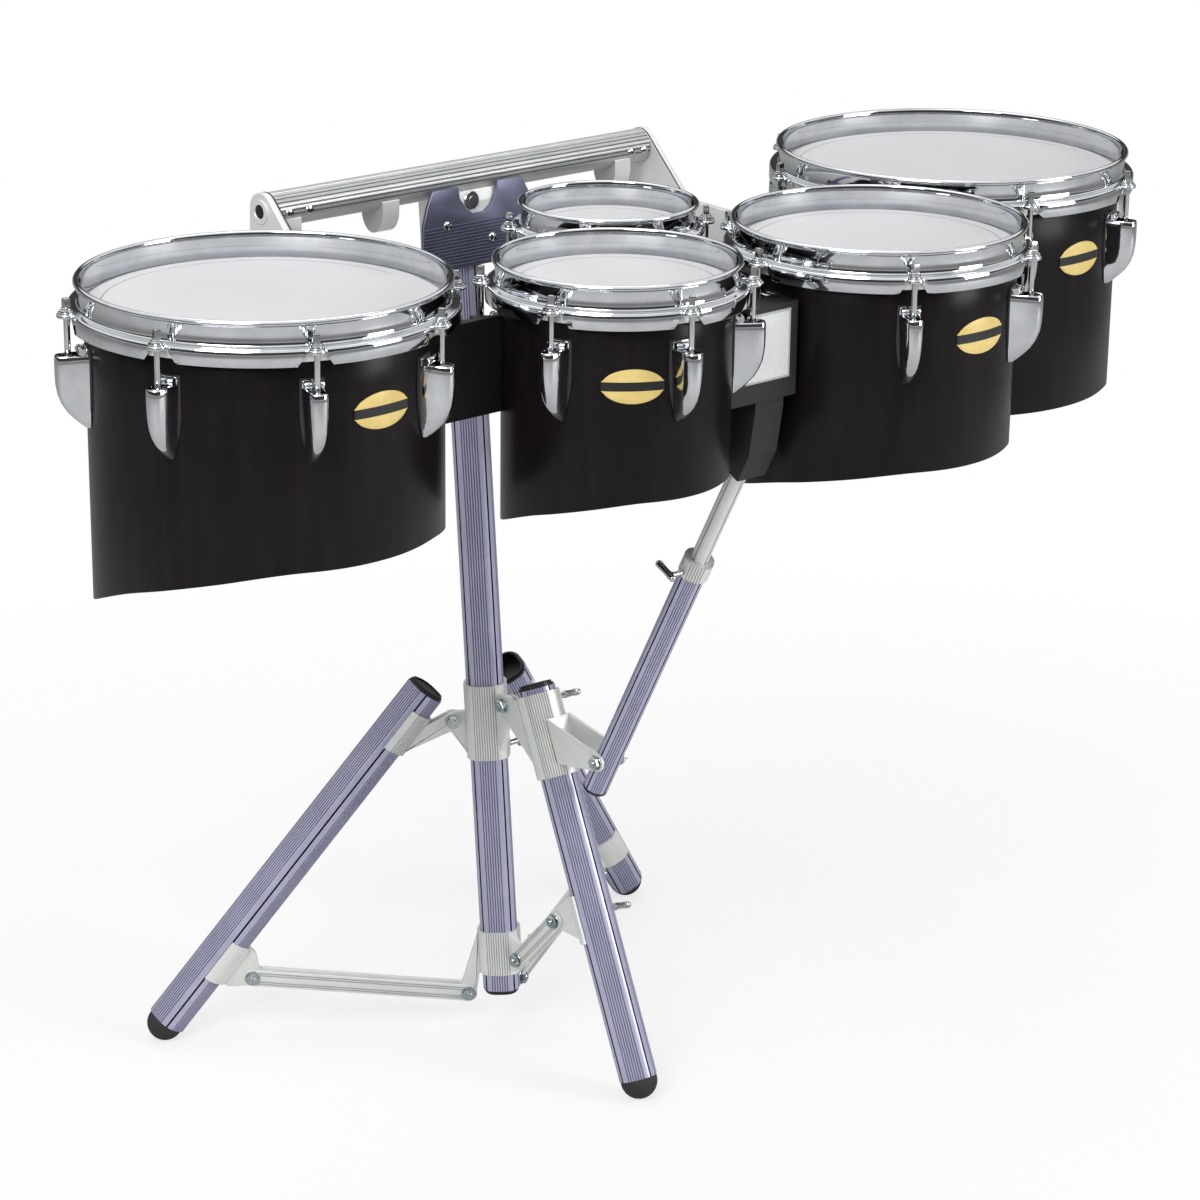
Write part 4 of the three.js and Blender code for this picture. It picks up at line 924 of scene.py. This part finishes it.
# rail: ribs along its upper side, a plain band below, and three shoes under it
railForm = {"x": 4.0, "half": 230.0, "y": 2.0, "z": lip - 12.5, "radius": 16.5, "bore": 13.5, "ribEach": 14,
            "ribWide": 3.6, "ribDeep": 0.7, "ribbed": 252, "shoes": (-0.922, -0.426, 0.835), "shoeHalf": 10}
rail = toRow @ shiftBy(railForm["x"], railForm["y"], railForm["z"])
railHalf = railForm["half"]
railPoints, railSlots = [], []
for i in range(240):
    a = 2 * math.pi * i / 240
    degrees = (math.degrees(a) + 50) % 360
    # the cut grooves take slot 1, the darker grey of painted shade
    cut = degrees < railForm["ribbed"] and degrees % railForm["ribEach"] < railForm["ribWide"]
    railPoints.append(circlePoint(railForm["radius"] - (railForm["ribDeep"] if cut else 0), a))
    railSlots.append(int(cut))
bm = bmesh.new()
bore = [circlePoint(railForm["bore"], 2 * math.pi * i / 48) for i in range(48)]
sweepX(bm, railPoints, -railHalf, railHalf, rail, bore, railSlots)
shoe = [circlePoint(15.0, math.pi * (1.12 + 0.76 * i / 10)) for i in range(11)] + [(16, -7.5)]
shoe += [(16 * math.cos(-math.pi * i / 16), -16.5 + 21.9 * math.sin(-math.pi * i / 16)) for i in range(17)]
shoe += [(-16, -7.5)]
for share in railForm["shoes"]:
    x = share * railHalf
    sweepX(bm, shoe, x - railForm["shoeHalf"], x + railForm["shoeHalf"], rail, None, repeat(2))
dressNode("ribbed_rail", bm, [railGrey, railGrooveShade, silver], "drum_set", "rail", 25)

# end plates with their bushes, screws and dark gaskets; flat lays an outline across the rail
rim = 17.3
plateOutline = [circlePoint(rim, math.pi * 0.75 * i / 18) for i in range(19)]
plateOutline += [(-60, -35.6), (-62, -38.6), (-62, -70), (-59.4, -72), (15, -50.6), (rim, -48)]
gasketRim = [(u * 1.02, min(v * 1.008, rim)) for u, v in plateOutline]
bushRing = [(6.4, 1), (11.2, 6.3), (11.4, 7.2), (11.2, 8.1), (10.6, 8.3), (7.2, 8.3), (6.6, 7.7), (6.4, 1)]
bushPlug = [(0, 5.8), (7.0, 5.8), (7.0, 6.9), (0, 6.9)]
screwHead = [(0, 0), (4.6, 0), (4.6, 0.6), (3.9, 1.8), (2.2, 2.5), (0, 2.7)]
screwLean = turnBy(math.radians(94), "X")
flat = Matrix(((0, 1, 0, 0), (1, 0, 0, 0), (0, 0, 1, 0), (0, 0, 0, 1)))
for side, word, insets in ((-1, "left", (14, 37)), (1, "right", (10, 27))):
    bm = bmesh.new()
    plateXZ(bm, plateOutline, 6, rail @ shiftBy(side * (railHalf + 3.3), 0, 0) @ flat, 1.0, 3)
    dressNode("rail_end_plate_" + word, bm, silver, "drum_set", "rail_end_" + word)
    bm = bmesh.new()
    outward = rail @ shiftBy(side * railHalf, 0, 0) @ turnBy(side * halfPi, "Y")
    revolve(bm, bushRing, 40, outward)
    # the plug sunk in the bush's bore is near black: painted shade
    revolve(bm, bushPlug, 24, outward, range(3))
    dressNode("rail_bush_" + word, bm, [silver, hollowShade], "drum_set", "rail_plug_" + word)
    bm = bmesh.new()
    for inset in insets:
        revolve(bm, screwHead, 24, rail @ shiftBy(side * (railHalf - inset), 0, 0) @ screwLean @ shiftBy(0, 0, 16.2))
    makePiece("rail_screws_" + word, bm, nickel, "drum_set")
    bm = bmesh.new()
    plateXZ(bm, gasketRim, 1.7, rail @ shiftBy(side * (railHalf - 0.6), 0, 0) @ flat, 0.3, 1)
    bm.normal_update()
    for face in bm.faces:
        face.material_index = int(abs(face.normal.x) > 0.9)
    makePiece("rail_gasket_" + word, bm, [rubber, silver], "drum_set")

# arms, boxes between the shells and the bare label plate
for word, x, start in (("left", -226.0, -244.7), ("right", 228.0, -254.7)):
    outline = [(start, -58), (-31, -52), (-17, -56.5), (-14.5, -60), (-14.5, -86), (-16.5, -88), (start, -94)]
    bm = bmesh.new()
    plateXZ(bm, outline, 6, toRow @ shiftBy(x + 3, 0, lip) @ flat, 1.0, 3)
    dressNode("rail_arm_" + word, bm, silver, "drum_set", "arm_" + word)

plainLooks = {"label_box": powderBlack, "spine_left": powderBlack, "spine_right": powderBlack,
              "centre_spine": powderBlack, "hook_saddle": silver, "strut_elbow": rubber}
for name, look in plainLooks.items():
    bpy.data.objects[name].material_slots[0].material = look

boxLow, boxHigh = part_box("label_box")
labelForm = {"right": 8.7, "wide": 53.4, "high": 62.0, "below": 5.4, "edge": 2.2}
wide, high = labelForm["wide"], labelForm["high"]
corner = shiftBy(boxHigh.x / mm - labelForm["right"], boxLow.y / mm - 0.1, boxHigh.z / mm - labelForm["below"])
bm = bmesh.new()
for by, thick, ease, slot in ((0, 0.9, 0.3, 0), (labelForm["edge"], 1.3, 0, 1)):
    plateXZ(bm, boxOutline(by - wide, -by, by - high, -by), thick, corner, ease, 2, slot)
makePiece("bare_label_plate", bm, [labelGrey, labelField], "drum_set")

# hook plate with ribs over its lower part, a round nut behind its notch and two small screws
hookForm = {"half": 72, "tall": 77, "ribs": 13, "ribPitch": 3.1, "ribTall": 1.7}
hookShape = mirrored([(1, 0), (0.95, 0.58), (0.86, 0.82), (0.76, 1), (0.33, 1), (0.31, 0.86), (0.22, 0.72),
                      (0.1, 0.65)])
hookNut = [(0, -4), (8.5, -4), (9.0, -3.4), (9.0, 1.2), (8.2, 2.2), (4, 2.2), (3.6, 3.0), (0, 3.0)]
hook = stand @ shiftBy(6, -22, 745.1)
bm = bmesh.new()
plateXZ(bm, [(u * hookForm["half"], v * hookForm["tall"]) for u, v in hookShape], 4, hook, 0.9, 3)
for k in range(hookForm["ribs"]):
    z = 3.2 + hookForm["ribPitch"] * k
    wide = 70.5 - 0.075 * z
    plateXZ(bm, boxOutline(-wide, wide, z, z + hookForm["ribTall"]), 1.2, hook @ shiftBy(0, -2.2, 0), 0.35, 1)
dressNode("ribbed_hook_plate", bm, shadedHookLilac, "mast", "hook_plate")
bm = bmesh.new()
for x, z in ((-40, 42.5), (14, 24.5)):
    revolve(bm, screwHead, 24, hook @ shiftBy(x, -2, z) @ turnBy(halfPi, "X"))
revolve(bm, hookNut, 32, hook @ shiftBy(-6, 2.5, 62) @ turnBy(halfPi, "X"))
makePiece("hook_screws_and_nut", bm, nickel, "mast")
print("rail and hook ready")

# camera, at the photograph's place; focal length and frame are in pixels
cameraForm = {"place": (-2181.3, -2636.3, 1620.7), "ahead": (0.668, 0.744), "pitch": 19.05, "roll": 0.7,
              "focal": 3672.4, "frame": 1200.0, "sensor": 36}
cameraData = bpy.data.cameras.new("photo_camera")
cameraData.sensor_width = cameraForm["sensor"]
cameraData.lens = cameraForm["focal"] / cameraForm["frame"] * cameraForm["sensor"]
cameraData.clip_end = 100
camera = addObject("photo_camera", cameraData)
heading = math.atan2(cameraForm["ahead"][1], cameraForm["ahead"][0])
pitch, roll = math.radians(cameraForm["pitch"]), math.radians(cameraForm["roll"])
turn = turnBy(heading - halfPi, "Z") @ turnBy(halfPi - pitch, "X") @ turnBy(roll, "Z")
camera.matrix_world = Matrix.Translation((Vector(cameraForm["place"]) + originShift) * mm) @ turn
bpy.context.scene.camera = camera


# helpers: shaders of the stage
def lightOf(tree, kind, colour, strength):
    return addNode(tree, "ShaderNode" + kind, {"Color": colour, "Strength": strength}).outputs[0]


def mixBy(tree, factor, first, second):
    return addNode(tree, "ShaderNodeMixShader", {0: factor, 1: first, 2: second}).outputs[0]


def product(tree, first, second):
    return addNode(tree, "ShaderNodeMath", {0: first, 1: second}, operation="MULTIPLY").outputs["Value"]


# floor: the camera sees it glow white away from the drums, and mirrors see it dimmed
white = (1, 1, 1, 1)
material, shader, coords = newSurface("pale studio floor", 0, 0.9)
tree = material.node_tree
colourBy(shader, noiseOver(coords, 3, 2), ("#f6f6f6", "#fafafa"))
away = addNode(tree, "ShaderNodeVectorMath", {0: coords}, operation="LENGTH").outputs["Value"]
share = addNode(tree, "ShaderNodeMapRange", {"Value": away, "From Min": 0.5, "From Max": 1.6, "To Min": 0.72,
                                             "To Max": 1.0}).outputs["Result"]
rays = addNode(tree, "ShaderNodeLightPath").outputs
seen = mixBy(tree, product(tree, share, rays["Is Camera Ray"]), shader.outputs[0],
             lightOf(tree, "Emission", white, 1.0))
dimmed = mixBy(tree, product(tree, rays["Is Glossy Ray"], 0.42), seen, lightOf(tree, "Emission", white, 0.06))
tree.links.new(dimmed, tree.nodes["Material Output"].inputs["Surface"])
bm = bmesh.new()
bmesh.ops.create_grid(bm, x_segments=2, y_segments=2, size=30)
floorData = bpy.data.meshes.new("floor")
bm.to_mesh(floorData)
bm.free()
floorData.materials.append(material)
floor = addObject("floor", floorData)
floor.location.z = cadLow.z - 0.5 * mm

# world: soft light, a white background for the camera and crisp bands for mirrors
world = bpy.data.worlds.new("studio")
bpy.context.scene.world = world
world.use_nodes = True
tree = world.node_tree
tree.nodes.clear()
height = addNode(tree, "ShaderNodeSeparateXYZ", {
    "Vector": addNode(tree, "ShaderNodeTexCoord").outputs["Generated"]}).outputs["Z"]
softBand = rampBetween(tree, height, [(0.0, 0.55), (0.18, 0.2), (0.42, 0.75), (0.8, 1.0)])
crispBand = rampBetween(tree, height, [(0.0, 0.5), (0.06, 0.06), (0.3, 0.05), (0.36, 1.0), (0.8, 1.0)])
rays = addNode(tree, "ShaderNodeLightPath").outputs
lit = mixBy(tree, rays["Is Glossy Ray"], lightOf(tree, "Background", softBand, 0.5),
            lightOf(tree, "Background", crispBand, 1.0))
sky = mixBy(tree, rays["Is Camera Ray"], lit, lightOf(tree, "Background", white, 1.0))
tree.links.new(sky, addNode(tree, "ShaderNodeOutputWorld").inputs["Surface"])


def addSoftbox(name, place, width, height, power, target=(0, 0, 0.6)):
    data = bpy.data.lights.new(name, "AREA")
    data.shape = "RECTANGLE"
    data.size, data.size_y, data.energy = width, height, power
    lamp = addObject(name, data)
    lamp.location = place
    lamp.rotation_euler = (Vector(target) - Vector(place)).to_track_quat("-Z", "Y").to_euler()


addSoftbox("key_softbox", (-2.6, -1.2, 2.6), 1.6, 1.6, 76)
addSoftbox("side_softbox", (1.6, -2.8, 1.6), 1.2, 1.8, 56)
addSoftbox("top_softbox", (0.2, 0.6, 3.2), 2.0, 2.0, 15)
bpy.context.scene.view_settings.view_transform = "Standard"
print("stage ready")
